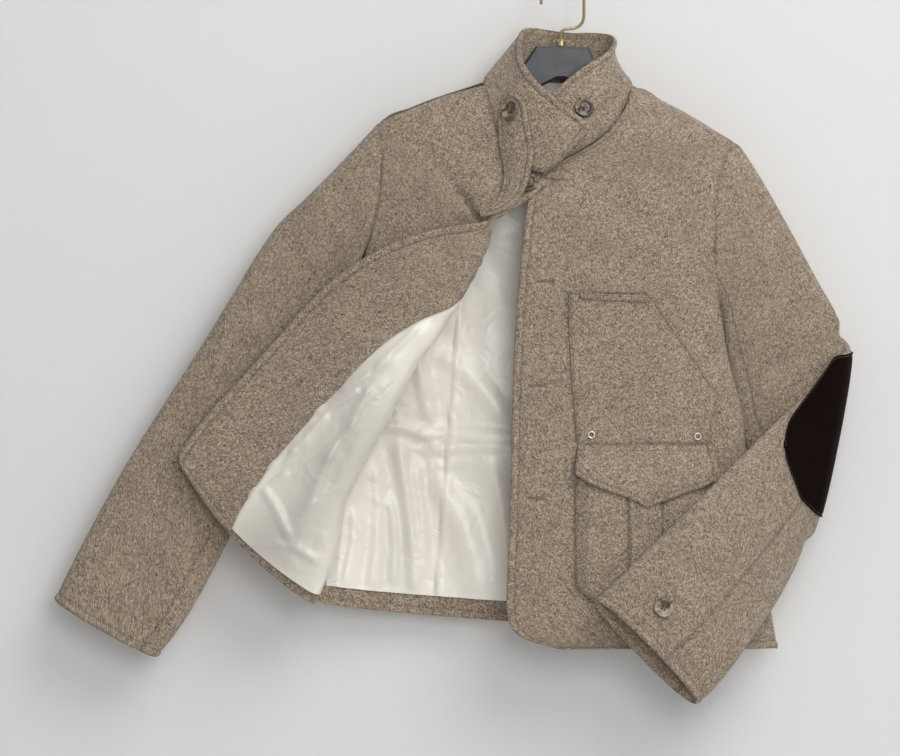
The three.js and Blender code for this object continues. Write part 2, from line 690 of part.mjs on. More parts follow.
add("right_elbow_patch", elbowPatch(rightArm, rightSleeve, rightPatch), SUEDE_FINISH);

// Collar: one standing band from its right end, round the back of the neck, to its left end
const collarStations = table(["topX", "topY", "topZ", "baseX", "baseY", "baseZ", "crown"],
  [31, -47, -166, -2, -45, -203, 3], [12, -50, -152, -15, -46, -212, 3],
  [-8, -50, -137, -29, -44, -213, 3], [-24, -47, -123, -45, -41, -202, 3],
  [-36, -40, -110, -58, -36, -189, 3], [-43, -30, -99, -68, -30, -173, 2],
  [-46, -18, -89, -76, -22, -154, 1], [-46, -6, -78, -82, -12, -134, 0],
  [-44, 8, -63, -85, 0.5, -113, 0], [-38, 20, -57, -72, 17, -104, 0],
  [-15, 27, -59, -40, 24, -100, 2], [8, 29, -62, 0, 25, -99, 2],
  [32, 27, -62, 40, 24, -101, 2], [50, 19, -64, 64, 16, -109, -3],
  [57, 8, -68, 75, 1, -116, -7], [57, -7, -75, 71, -12, -130, -6],
  [50, -17, -84, 64, -22, -145, -4], [38, -26, -92, 55, -29, -160, 0],
  [22, -33, -102, 38, -33, -176, 3], [4, -36, -116, 19, -36, -188, 3],
  [-12, -38, -130, 0, -37, -198, 3], [-30, -39, -146, -17, -38, -206, 3]);
const collarTop = smoothPath(collarStations.map((row) => vec(row.topX, row.topY, row.topZ)));
const collarBase = smoothPath(collarStations.map((row) => vec(row.baseX, row.baseY, row.baseZ)));
const collarCrown = smoothPath(collarStations.map((row) => vec(row.crown, 0, 0)));
const collar = surface((u, v) => {
  const top = collarTop(v);
  const base = collarBase(v);
  const point = base.clone().lerp(top, u);
  const outward = point.clone().setZ(0).normalize();
  return point.addScaledVector(outward, collarCrown(v).x * 4 * u * (1 - u));
}, 1);
add("collar", wall(collar, 3, 34, 0, -COLLAR_CLOTH), TWEED);

// Throat tab: a curved strip down the right neck seam
const tabSections = table(["leftX", "leftY", "leftZ", "rightX", "rightY", "rightZ"],
  [-60, -30, -131, -54, -35, -130], [-69, -26.5, -144, -42, -45, -139],
  [-70, -30, -166, -38, -49, -163], [-69, -32.5, -187, -33, -50, -187],
  [-65, -35, -208, -34, -48, -209], [-65, -37.5, -223, -40, -45, -231],
  [-69, -41, -239, -50, -44, -248], [-78, -44, -251, -66, -47, -259],
  [-90, -46, -259, -88, -47, -264]);
const tabLeft = smoothPath(tabSections.map((row) => vec(row.leftX, row.leftY, row.leftZ)));
const tabRight = smoothPath(tabSections.map((row) => vec(row.rightX, row.rightY, row.rightZ)));
const TAB_CROWN = 3;
const tab = surface((u, v) => {
  const point = tabLeft(u).lerp(tabRight(u), v);
  point.y -= TAB_CROWN * 4 * v * (1 - v);
  return point;
}, 1);
add("throat_tab", wall(tab, 14, 4, 0, -CLOTH), TWEED);

// Pocket on the left front: pieces laid on the panel, moved out along its normals

function onLeftFront(placeAt, riseAt = () => 0) {
  return surface((u, v) => {
    const place = placeAt(u, v);
    const normal = bodyNormal(FRONT, place.x, place.z);
    return onBody(FRONT, place).addScaledVector(normal, LAY_GAP + riseAt(u, v));
  }, 1);
}

const pocketSides = table(["z", "leftX", "rightX"],
  [-343, 5, 88], [-350, 5, 95], [-385, 6, 119], [-422, 8, 145], [-445, 9, 160],
  [-452, 10, 168], [-471, 12, 164], [-488, 13, 159], [-510, 15, 161]);
const pocketLeft = reader(pocketSides, "z", "leftX");
const pocketRight = reader(pocketSides, "z", "rightX");
const POCKET_TOP = -343;
const POCKET_FOOT = -506;
const panelPlace = (u, v) => {
  const z = mix(POCKET_TOP, POCKET_FOOT, u);
  return { x: mix(pocketLeft(z), pocketRight(z), v), z };
};
const pocketRows = [0, 0.05, 0.15, 0.26, 0.37, 0.48, 0.58, 0.625, 0.668, 0.77, 0.89, 1];
const PANEL_GAP = 0.4;
add("pocket_panel", wall(onLeftFront(panelPlace, () => PANEL_GAP), pocketRows, 9, CLOTH, 0), TWEED);

const WELT = { from: 18, to: 90, top: -344, slant: 4, height: 6, gap: 0.9 };
const weltPlace = (u, v) => ({
  x: mix(WELT.from, WELT.to, v),
  z: WELT.top - WELT.slant * v - WELT.height * u,
});
const ON_POCKET = CLOTH + LAY_GAP + WELT.gap;
add("pocket_welt", wall(onLeftFront(weltPlace, () => ON_POCKET), 1, 7, CLOTH, 0), TWEED);

const flapFoot = reader(table(["x", "z"],
  [12, -541], [18, -546], [45, -557], [69, -565], [90, -574], [107, -569], [133, -559],
  [152, -553], [163, -545]), "x", "z");
const flapSides = table(["z", "leftX", "rightX"],
  [-508, 15, 161], [-520, 14, 162], [-531, 12, 163], [-546, 12, 163], [-575, 12, 163]);
const flapLeft = reader(flapSides, "z", "leftX");
const flapRight = reader(flapSides, "z", "rightX");
const FLAP_TOP = -508;
const FLAP_STAND = 11.5; // how far the flap's foot stands out over the bag
const flapPlace = (u, v) => {
  const x = mix(flapLeft(-540), flapRight(-540), v);
  const z = mix(FLAP_TOP, flapFoot(x), u);
  return { x: mix(flapLeft(z), flapRight(z), v), z };
};
add(
  "pocket_flap",
  wall(onLeftFront(flapPlace, (u) => 0.2 + FLAP_STAND * ease(u, -0.05, 0.75)), 5, 11, CLOTH, 0),
  TWEED,
);

// The bag stands off the front, with a pleat each side of its middle
const BAG_STAND = 9;
const BAG_TOP = -520;
const bagFoot = reader(table(["x", "z"],
  [12, -655], [16, -663], [22, -669], [34, -676], [60, -681], [90, -682], [120, -681],
  [142, -676], [154, -669], [160, -663], [164, -655]), "x", "z");
const BAG_LEFT = 12.5;
const BAG_RIGHT = 163;
const BAG_SIDE = 0.09; // share of the bag's width over which its sides rise
const BAG_MOUTH = 0.3; // share of its height over which its top rises
const BAG_FOOT = 0.9; // where its foot starts to close
const FOOT_STAND = 0.2; // share of the stand that is left at the foot
const PLEATS = [70, 109];
const PLEAT_DEPTH = 3;
const PLEAT_WIDTH = 7;
const bagPlace = (u, v) => {
  const x = mix(BAG_LEFT, BAG_RIGHT, v);
  return { x, z: mix(BAG_TOP, bagFoot(x), u) };
};
function bagRise(u, v) {
  const x = mix(BAG_LEFT, BAG_RIGHT, v);
  const sides = ease(v, 0, BAG_SIDE) * (1 - ease(v, 1 - BAG_SIDE, 1));
  const foot = 1 - ease(u, BAG_FOOT, 1);
  const pleats = PLEATS.reduce(
    (sum, middle) => sum + PLEAT_DEPTH * Math.exp(-(((x - middle) / PLEAT_WIDTH) ** 2)),
    0,
  );
  return (BAG_STAND - pleats) * Math.min(sides, mix(FOOT_STAND, 1, foot)) * ease(u, 0, BAG_MOUTH);
}
const bagColumns = [0, 0.045, 0.09, 0.2, 0.3, 0.34, 0.382, 0.42, 0.5, 0.6, 0.641, 0.68, 0.8, 0.91, 0.955, 1];
const bagRows = [0, 0.14, 0.3, 0.5, 0.7, 0.86, 0.93, 1];
add("pocket_bag", wall(onLeftFront(bagPlace, bagRise), bagRows, bagColumns, CLOTH, 0), TWEED);

// Buttons and eyelets: turned discs, seated on the surface they are sewn to

function disc(profile, sides) {
  const points = profile.map(([radius, height]) => new THREE.Vector2(radius, height));
  const geometry = new THREE.LatheGeometry(points, sides);
  geometry.rotateX(Math.PI / 2);
  return geometry;
}

// The place on a surface that shows at x and z, nearest the viewer
function seatOn(face, x, z, outer) {
  let best = null;
  for (let row = 0; row <= 90; row += 1) {
    for (let column = 0; column <= 90; column += 1) {
      const u = row / 90;
      const v = column / 90;
      const cell = face(u, v);
      const miss = Math.hypot(cell.point.x - x, cell.point.z - z);
      const front = cell.normal.y < 0;
      if (front && (best === null || miss < best.miss)) best = { ...cell, miss };
    }
  }
  const normal = best.normal.clone();
  return { point: vec(x, best.point.y, z).addScaledVector(normal, outer), normal };
}

function seated(name, geometry, seat, stand, material) {
  const mesh = add(name, geometry, material);
  mesh.quaternion.setFromUnitVectors(vec(0, 0, 1), seat.normal);
  mesh.position.copy(seat.point).addScaledVector(seat.normal, stand);
  return mesh;
}

const buttonProfile = [
  [0, 0], [BUTTON_RADIUS * 0.72, 0], [BUTTON_RADIUS, BUTTON_THICK * 0.42],
  [BUTTON_RADIUS * 0.94, BUTTON_THICK * 0.88], [BUTTON_RADIUS * 0.8, BUTTON_THICK],
  [BUTTON_RADIUS * 0.62, BUTTON_THICK * 0.7], [0, BUTTON_THICK * 0.6],
];
const BUTTON_SIDES = 12;
const BUTTON_STAND = 0.5;
const button = (name, seat, stand = BUTTON_STAND) => {
  seated(name, disc(buttonProfile, BUTTON_SIDES), seat, stand, HORN);
};

button("collar_tab_button", seatOn(tab, -56, -150, 0));
button("collar_left_button", seatOn(collar, 22, -146, 0));
const FOLD_STAND = 0.8;
button("neck_button", seatOn(rightFront, -38, -226, 0), FOLD_STAND);

// Buttons under the folded front, sewn to its outer face near the front edge
const hiddenButtons = table(["name", "row", "column"],
  ["front_button_2", 0.325, 0.02], ["front_button_3", 0.57, 0.05], ["front_button_4", 0.81, 0.05]);
hiddenButtons.forEach((row) => {
  const cell = rightFront(row.row, row.column);
  button(row.name, { point: cell.point, normal: cell.normal }, FOLD_STAND);
});

// Cuff buttons, on the hind seam at the vent
const leftVent = surface((u, v) => leftSleeve.pointAt(mix(0.8, 1, u), mix(0.9, 2.4, v)), 1);
button("left_cuff_button", seatOn(leftVent, 106, -681, 0));
const rightCuff = { t: 0.955, angle: HIND_SEAM - 0.25 };
const VENT = { from: 0.9, to: 1, start: 0.8, end: 2 };
const VENT_STAND = 0.9;
const rightVent = surface(
  (u, v) => rightSleeve.pointAt(mix(VENT.from, VENT.to, u), mix(VENT.start, VENT.end, v)),
  -1,
);
const ventSeat = rightVent(
  (rightCuff.t - VENT.from) / (VENT.to - VENT.from),
  (rightCuff.angle - VENT.start) / (VENT.end - VENT.start),
);
button("right_cuff_button", ventSeat, VENT_STAND);

const EYELET_RADIUS = 4.5;
const EYELET_HOLE = 2.2;
const EYELET_THICK = 1.4;
const eyeletProfile = [
  [EYELET_HOLE, 0], [EYELET_RADIUS, 0], [EYELET_RADIUS, EYELET_THICK * 0.5],
  [EYELET_RADIUS * 0.8, EYELET_THICK], [EYELET_HOLE, EYELET_THICK * 0.7], [EYELET_HOLE, 0],
];
const EYELET_SIDES = 12;
const eyelets = table(["name", "x", "z"],
  ["pocket_eyelet_right", 30, -497], ["pocket_eyelet_left", 144, -499]);
const ON_PANEL = LAY_GAP + CLOTH + 0.4;
eyelets.forEach((row) => {
  const normal = bodyNormal(FRONT, row.x, row.z);
  const point = onBody(FRONT, row).addScaledVector(normal, ON_PANEL);
  seated(row.name, disc(eyeletProfile, EYELET_SIDES), { point, normal }, 0.5, METAL);
});

// Hanger: moulded arms under the shoulders, a ferrule and the brass hook

const HANGER_HALF_THICK = 6.5;
const HANGER_EDGE = 2.5;
const hangerOutline = table(["x", "z"],
  [-29, -78], [28, -79], [33, -92], [58, -117], [78, -132.3], [100, -141], [134, -158],
  [158, -174], [158, -188], [134, -175], [100, -160], [60, -142], [20, -122], [2, -113],
  [-6, -113], [-22, -121], [-60, -136], [-85, -144], [-132, -158], [-164, -172],
  [-166, -158], [-132, -143], [-105, -134], [-86, -132], [-60, -117], [-38, -92]);
const hangerShape = new THREE.Shape(
  hangerOutline.map((row) => new THREE.Vector2(row.x, row.z)),
);
const hangerBody = new THREE.ExtrudeGeometry(hangerShape, {
  depth: 2 * (HANGER_HALF_THICK - HANGER_EDGE),
  bevelEnabled: true,
  bevelThickness: HANGER_EDGE,
  bevelSize: HANGER_EDGE,
  bevelOffset: -HANGER_EDGE,
  bevelSegments: 2,
});
hangerBody.rotateX(Math.PI / 2);
hangerBody.translate(0, HANGER_HALF_THICK - HANGER_EDGE, 0);
add("hanger_body", hangerBody, PLASTIC);

const STEM_X = -2;
const HANGER_TOP = -78;
const FERRULE_RADIUS = 5;
const FERRULE_HEIGHT = 7;
const FERRULE_BORE = WIRE / 2 + 0.3;
const ferrule = disc([
  [FERRULE_BORE, 0], [FERRULE_RADIUS, 0], [FERRULE_RADIUS, FERRULE_HEIGHT * 0.7],
  [FERRULE_RADIUS * 0.7, FERRULE_HEIGHT], [FERRULE_BORE, FERRULE_HEIGHT], [FERRULE_BORE, 0],
], 16);
const ferruleMesh = add("hanger_ferrule", ferrule, BRASS);
ferruleMesh.position.set(STEM_X, 0, HANGER_TOP + 0.3);

const HOOK_CENTRE = WIRE / 2 - HOOK_RADIUS;
const HOOK_TIP = -33;
const hookRoute = new THREE.CurvePath();
const stemFoot = vec(STEM_X, 0, HANGER_TOP + 0.35);
const stemTop = vec(STEM_X, 0, -66);
const jogStart = vec(4, 0, -59.5);
const jogEnd = vec(14, 0, -58.5);
const riseStart = vec(HOOK_RADIUS, 0, -46);
const arcStart = vec(HOOK_RADIUS, 0, HOOK_CENTRE);
hookRoute.add(new THREE.LineCurve3(stemFoot, stemTop));
hookRoute.add(new THREE.QuadraticBezierCurve3(stemTop, vec(STEM_X, 0, -60), jogStart));
hookRoute.add(new THREE.LineCurve3(jogStart, jogEnd));
hookRoute.add(new THREE.QuadraticBezierCurve3(jogEnd, vec(22, 0, -56), riseStart));
hookRoute.add(new THREE.LineCurve3(riseStart, arcStart));
const ARC_PIECES = 8;
const arcPoint = (turn) => vec(
  HOOK_RADIUS * Math.cos(Math.PI * turn),
  0,
  HOOK_CENTRE + HOOK_RADIUS * Math.sin(Math.PI * turn),
);
fractions(ARC_PIECES).slice(1).forEach((turn) => {
  hookRoute.add(new THREE.LineCurve3(arcPoint(turn - 1 / ARC_PIECES), arcPoint(turn)));
});
hookRoute.add(new THREE.LineCurve3(arcPoint(1), vec(-HOOK_RADIUS, 0, HOOK_TIP)));
const WIRE_SIDES = 8;
const wireSection = new THREE.Shape(
  fractions(WIRE_SIDES).slice(1).map((turn) => new THREE.Vector2(
    (WIRE / 2) * Math.cos(2 * Math.PI * turn),
    (WIRE / 2) * Math.sin(2 * Math.PI * turn),
  )),
);
const HOOK_STEPS = 30;
add(
  "hanger_hook",
  new THREE.ExtrudeGeometry(wireSection, { steps: HOOK_STEPS, extrudePath: hookRoute, bevelEnabled: false }),
  BRASS,
);

export default jacket;
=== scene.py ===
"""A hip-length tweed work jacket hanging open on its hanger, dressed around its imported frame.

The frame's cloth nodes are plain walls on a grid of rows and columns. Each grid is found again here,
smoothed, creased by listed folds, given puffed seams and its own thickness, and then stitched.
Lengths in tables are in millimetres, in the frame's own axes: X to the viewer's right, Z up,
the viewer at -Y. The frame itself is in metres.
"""

import math
from collections import namedtuple

import bmesh
import bpy
import numpy as np
from mathutils import Matrix, Vector


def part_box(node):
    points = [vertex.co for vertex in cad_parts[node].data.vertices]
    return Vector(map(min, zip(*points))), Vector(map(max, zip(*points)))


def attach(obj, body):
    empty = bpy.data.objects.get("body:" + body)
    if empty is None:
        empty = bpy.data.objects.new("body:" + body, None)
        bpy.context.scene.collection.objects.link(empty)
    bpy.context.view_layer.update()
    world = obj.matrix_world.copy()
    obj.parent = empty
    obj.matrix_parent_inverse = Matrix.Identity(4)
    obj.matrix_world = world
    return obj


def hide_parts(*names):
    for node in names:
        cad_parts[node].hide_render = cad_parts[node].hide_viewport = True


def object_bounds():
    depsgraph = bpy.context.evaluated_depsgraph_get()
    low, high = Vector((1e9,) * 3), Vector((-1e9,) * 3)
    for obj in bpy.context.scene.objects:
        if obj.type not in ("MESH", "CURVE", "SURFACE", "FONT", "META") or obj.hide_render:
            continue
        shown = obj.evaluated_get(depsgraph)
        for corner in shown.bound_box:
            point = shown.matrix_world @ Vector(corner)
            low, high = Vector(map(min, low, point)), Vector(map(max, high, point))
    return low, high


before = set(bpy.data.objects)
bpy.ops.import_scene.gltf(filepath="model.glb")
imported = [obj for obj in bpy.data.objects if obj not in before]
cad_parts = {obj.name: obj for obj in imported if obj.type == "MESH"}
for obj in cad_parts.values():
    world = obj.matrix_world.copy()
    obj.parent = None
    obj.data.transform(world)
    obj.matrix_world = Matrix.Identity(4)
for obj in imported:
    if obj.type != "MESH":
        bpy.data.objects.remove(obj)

bl_info = {
    "name": "Tweed Work Jacket",
    "version": (1, 0, 0),
    "blender": (4, 5, 0),
    "location": "View3D > Sidebar > Jacket",
    "description": "Dresses the frame of a hanging tweed work jacket",
    "category": "Object",
}

MM = 0.001
CAD_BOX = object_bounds()
BODY = "root"
VIEWER = np.array([0.0, -1.0, 0.0])


# Cloth pieces. Rows and columns are the counts of grid lines in the frame's wall, corner is where its
# first row and column meet, and face says which side of the wall is the piece's own outer face.

Cut = namedtuple("Cut", "node slot wall rows columns corner face step group flat area held rests")

CUTS = [
    Cut("back", "tweed", 1.6, 23, 17, (-85, -116), "rear", 5.2, "back",
        (0.52, 0.62), 0.26, "hung", ["hanger_body"]),
    Cut("left_front", "tweed", 1.6, 28, 14, (60, -123), "front", 4.0, "left_body",
        (0.31, 0.62), 0.145, "hung", ["hanger_body"]),
    Cut("right_front", "tweed", 1.6, 23, 21, (-15, -225), "under", 4.4, "right_body",
        (0.33, 0.60), 0.12, "folded", ["hanger_body", "right_sleeve_top"]),
    Cut("right_facing", "tweed", 1.2, 22, 7, (-32, -240), "front", 3.4, "right_body",
        (0.10, 0.52), 0.046, "folded", ["right_front"]),
    Cut("right_front_lining", "satin_lining", 1.0, 20, 13, (-60, -250), "front", 2.5, "right_lining",
        (0.27, 0.50), 0.062, "folded", ["right_front"]),
    Cut("back_lining", "satin_lining", 1.0, 22, 13, (-80, -125), "rear", 3.8, "back_lining",
        (0.45, 0.56), 0.2, "hung", ["back"]),
    Cut("right_sleeve_top", "tweed", 1.6, 16, 14, (-223, -347), "front", 4.6, "right_arm",
        (0.25, 0.63), 0.11, "hung", ["right_front"]),
    Cut("right_sleeve_under", "tweed", 1.6, 16, 9, (-214, -290), "under_arm", 4.8, "right_arm",
        (0.12, 0.55), 0.035, "hung", ["right_front"]),
    Cut("left_sleeve_top", "tweed", 1.6, 26, 14, (163, -330), "front", 4.2, "left_arm",
        (0.26, 0.64), 0.12, "folded", ["left_front"]),
    Cut("left_sleeve_under", "tweed", 1.6, 26, 9, (163, -285), "under_arm", 4.4, "left_arm",
        (0.12, 0.56), 0.038, "folded", ["left_front"]),
    Cut("left_elbow_patch", "suede", 1.4, 16, 10, (250, -430), "front", 3.0, "left_arm",
        (0.13, 0.20), 0.016, "folded", ["left_sleeve_top"]),
    Cut("right_elbow_patch", "suede", 1.4, 10, 10, (-325, -370), "rear", 3.4, "right_arm",
        (0.11, 0.17), 0.012, "hung", ["right_sleeve_top"]),
    Cut("collar", "tweed", 3.0, 4, 35, (5, -203), "front", 2.4, "collar",
        (0.53, 0.075), 0.03, "folded", ["hanger_body"]),
    Cut("throat_tab", "tweed", 1.6, 15, 5, (-70, -131), "front", 2.2, "collar",
        (0.04, 0.15), 0.0045, "hung", ["collar"]),
    Cut("pocket_panel", "tweed", 1.6, 12, 10, (5, -343), "front", 2.6, "left_body",
        (0.16, 0.17), 0.021, "hung", ["left_front"]),
    Cut("pocket_welt", "tweed", 1.6, 2, 8, (18, -344), "front", 1.6, "left_body",
        (0.075, 0.012), 0.0005, "hung", ["pocket_panel"]),
    Cut("pocket_flap", "tweed", 1.6, 6, 12, (15, -508), "front", 2.2, "left_body",
        (0.155, 0.07), 0.008, "hung", ["left_front"]),
    Cut("pocket_bag", "tweed", 1.6, 8, 16, (12, -520), "front", 2.2, "left_body",
        (0.19, 0.165), 0.025, "hung", ["left_front"]),
]


# The user's settings

def color_setting(name, description, default):
    """A setting that holds a colour."""
    return bpy.props.FloatVectorProperty(
        name=name, description=description, subtype="COLOR", size=3, min=0, max=1, default=default)


def length_setting(name, description, default):
    """A setting that holds a length in metres."""
    return bpy.props.FloatProperty(name=name, description=description, default=default, unit="LENGTH")


class JacketClothSettings(bpy.types.PropertyGroup):
    """Colours and sizes of the cloth"""

    tweed_light: color_setting("Tweed light yarn", "Oatmeal yarn of the tweed", (0.44, 0.355, 0.27))
    tweed_middle: color_setting(
        "Tweed middle yarn", "Brown-grey yarn of the tweed", (0.235, 0.184, 0.134))
    tweed_dark: color_setting("Tweed dark yarn", "Dark yarn of the tweed", (0.09, 0.068, 0.05))
    satin: color_setting("Satin", "Cream lining", (0.83, 0.79, 0.71))
    suede: color_setting("Suede", "Dark brown elbow patches", (0.0035, 0.0012, 0.0009))
    yarns_per_metre: bpy.props.FloatProperty(
        name="Yarns per metre", description="Density of the tweed's yarns", default=1050, min=50, max=3000)
    stitch_length: length_setting("Stitch length", "Length of one topstitch", 2.6 * MM)
    stitch_pitch: length_setting("Stitch pitch", "Distance from stitch to stitch", 3.4 * MM)
    thread: length_setting("Thread", "Thickness of the topstitching thread", 0.55 * MM)
    edge_puff: length_setting("Edge puff", "How far a turned and stitched edge swells", 1.3 * MM)


class JacketTrimSettings(bpy.types.PropertyGroup):
    """Colours of the buttons, eyelets and hanger"""

    horn_dark: color_setting("Horn dark", "Dark streaks of the buttons", (0.045, 0.026, 0.014))
    horn_light: color_setting("Horn light", "Cream streaks of the buttons", (0.42, 0.34, 0.22))
    plastic: color_setting(
        "Hanger plastic", "Navy-grey plastic of the hanger", (0.019, 0.0185, 0.0235))
    brass: color_setting("Brass", "Hook and ferrule", (0.62, 0.5, 0.3))
    eyelet: color_setting("Eyelet metal", "Eyelets of the pocket", (0.55, 0.5, 0.43))


class JacketStageSettings(bpy.types.PropertyGroup):
    """Wall, floor, lights and camera"""

    wall_gap: length_setting("Wall gap", "Distance of the wall behind the hook", 0.06)
    floor_drop: length_setting("Floor drop", "Distance of the floor under the hem", 0.45)
    key_power: bpy.props.FloatProperty(
        name="Key power", description="Power of the overhead light in watts", default=76, min=0)
    fill_power: bpy.props.FloatProperty(
        name="Fill power", description="Power of the frontal light in watts", default=42, min=0)
    rear_power: bpy.props.FloatProperty(
        name="Rear power", description="Power of the light behind the jacket in watts", default=80, min=0)
    distance: length_setting("Camera distance", "From the camera to the jacket", 6.0)
    view_width: length_setting("View width", "Width that the picture shows", 0.9675)


# Main creases, listed by the group or piece that has them: a soft ridge from one place to
# another, by its width and its rise towards the viewer. A negative rise is a trough. The painted
# shade, where given, darkens the colour as shade would: along a trough where seams, pleats or folds
# lie in shade, or over a broad zone in shade.

Crease = namedtuple("Crease", "x1 z1 x2 z2 width rise mark", defaults=[0])

CREASES = {
    "right_arm": [
        (-262, -250, -225, -330, 16, 3.2), (-300, -285, -262, -372, 14, -2.4),
        (-360, -365, -300, -440, 20, 3.0), (-392, -420, -352, -478, 14, -2.2),
        (-440, -500, -388, -560, 22, 2.7), (-500, -600, -440, -655, 18, -1.9),
        (-225, -215, -212, -300, 10, 2.2),
    ],
    "left_arm": [
        (190, -225, 215, -330, 12, 2.2), (215, -260, 245, -350, 14, -1.9),
        (185, -395, 262, -352, 12, 2.6), (205, -445, 285, -392, 9, -2.2),
        (228, -455, 292, -410, 7, 2.2), (128, -600, 190, -545, 14, 1.7),
        (150, -690, 235, -600, 18, 1.9),
    ],
    "left_body": [
        (150, -205, 95, -330, 22, 2.1), (158, -300, 110, -345, 12, -1.8),
        (-20, -240, 30, -330, 26, 1.8), (-38, -400, -30, -560, 16, 1.6),
        (168, -365, 182, -470, 9, -2.6), (150, -372, 178, -430, 8, 2.3),
        (-10, -690, 60, -700, 12, 1.3), (82, -525, 84, -565, 24, 1.0),
    ],
    "right_body": [
        (-195, -215, -120, -250, 16, 1.8), (-190, -180, -150, -230, 14, -1.2),
        (-150, -290, -130, -360, 20, 1.5), (-250, -360, -215, -450, 26, 1.6),
        (-300, -440, -265, -500, 22, 1.2), (-375, -510, -300, -600, 18, 1.2),
    ],
    "back": [
        (-150, -190, -110, -330, 26, 3.7), (130, -215, 80, -360, 24, 3.7),
        (-60, -330, -40, -560, 30, -3.4), (40, -420, 60, -680, 26, 4.1),
        (-200, -430, -210, -640, 18, -3.7), (150, -430, 170, -690, 20, -3.2),
    ],
    "pocket_bag": [
        # The troughs of the two pleats carry painted shade
        (68.5, -560, 69.5, -668, 1.6, -1.8, 0.9), (72.5, -560, 73.5, -668, 2.6, 1.6),
        (106, -560, 105.5, -640, 1.6, -1.8, 0.9), (102, -560, 101.5, -640, 2.6, 1.6),
    ],
    "collar": [
        # The first two are troughs along the collar's fold, with painted shade in them
        (57, -110, 64, -123, 3.5, -1.6, 0.35), (64, -123, 33, -152, 4.5, -1.8, 0.3),
        (40, -80, 62, -118, 8, 1.2), (-66, -110, -70, -160, 10, 0.8),
    ],
}

# The linings' own creases, over those of the cloth behind them
LINING_CREASES = {
    "right_lining": [
        # The first row is a broad zone of painted shade over the lining, the second a trough with painted
        # shade along it
        (-225, -440, -300, -600, 52, 0.6, 0.62), (-182, -440, -292, -542, 1.4, -0.8, 0.5),
        (-160, -385, -196, -418, 3.6, 2.6), (-172, -388, -205, -410, 3.2, -1.7),
        (-188, -418, -232, -446, 4.2, 2.9), (-205, -430, -228, -462, 3.4, -2.0),
        (-222, -452, -262, -470, 4.0, 3.2), (-240, -440, -262, -478, 3.6, -2.0),
        (-258, -478, -290, -512, 4.6, 3.2), (-268, -470, -302, -486, 3.2, 2.3),
        (-276, -505, -312, -530, 4.6, 2.6), (-296, -515, -326, -556, 5.0, -2.3),
        (-300, -540, -338, -560, 4.0, 2.9), (-318, -560, -296, -602, 5.4, 2.6),
        (-250, -520, -282, -588, 8.0, 3.5), (-232, -500, -262, -560, 6.0, -2.3),
        (-222, -470, -250, -520, 5.0, 2.6), (-262, -560, -290, -625, 8.0, 2.6),
        (-300, -615, -270, -628, 5.0, 2.3), (-210, -450, -232, -500, 3.4, 2.3),
        (-268, -640, -300, -610, 6.0, -1.7),
    ],
    "back_lining": [
        # The first row is a broad zone of painted shade, the second the trough at the seams and the fourth
        # a fold's trough, each with painted shade along it
        (-175, -480, -185, -650, 34, 0.4, 0.32), (-113, -353, -138, -672, 1.3, -0.9, 0.5),
        (-110, -353, -134.5, -672, 2.2, 1.2), (-150, -505, -52, -506, 1.6, -1.2, 0.3),
        (-150, -497, -48, -500, 7, 2.9), (-138, -513, -46, -512, 8, 4.9),
        (-140, -530, -48, -528, 8, 2.3), (-190, -488, -146, -498, 5, 2.9),
        (-128, -560, -95, -655, 13, 5.2), (-104, -585, -80, -665, 11, 1.7),
        (-175, -520, -160, -655, 7, 4.3), (-158, -540, -150, -640, 6, 3.2),
        (-200, -540, -205, -650, 8, 3.8), (-222, -590, -232, -650, 7, 3.8),
        (-185, -575, -182, -650, 5, 2.3), (-165, -395, -148, -470, 6, 2.9),
        (-152, -420, -140, -480, 5, 2.0), (-118, -420, -70, -470, 10, 2.6),
        (-130, -350, -90, -440, 14, 2.0), (-75, -540, -60, -650, 12, 3.5),
        (-90, -240, -60, -330, 14, 1.7), (20, -300, 40, -600, 26, 2.9),
        (110, -300, 120, -600, 26, 2.9),
    ],
}

BEHIND_LINING = {"back_lining": "back", "right_lining": "right_body"}

# Trims that the cloth's creases keep away from, because they stay where the frame has them
SEATED_TRIMS = [
    "collar_tab_button", "collar_left_button", "neck_button", "front_button_2", "front_button_3",
    "front_button_4", "left_cuff_button", "right_cuff_button", "pocket_eyelet_right", "pocket_eyelet_left",
]
GUARD = 17.0  # radius round a trim within which creases fade
CREASE_BEND = 0.35  # how far a crease bends aside, as a share of its width
CREASE_END = 1.6  # how far it fades past its ends, in widths
LINING_DIP = 0.3  # deepest that a lining sinks towards the cloth behind it


def trim_places():
    """Middles of the seated trims in millimetres, across and up."""
    places = []
    for node in SEATED_TRIMS:
        low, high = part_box(node)
        middle = (low + high) / 2 / MM
        places.append((middle.x, middle.z))
    return places


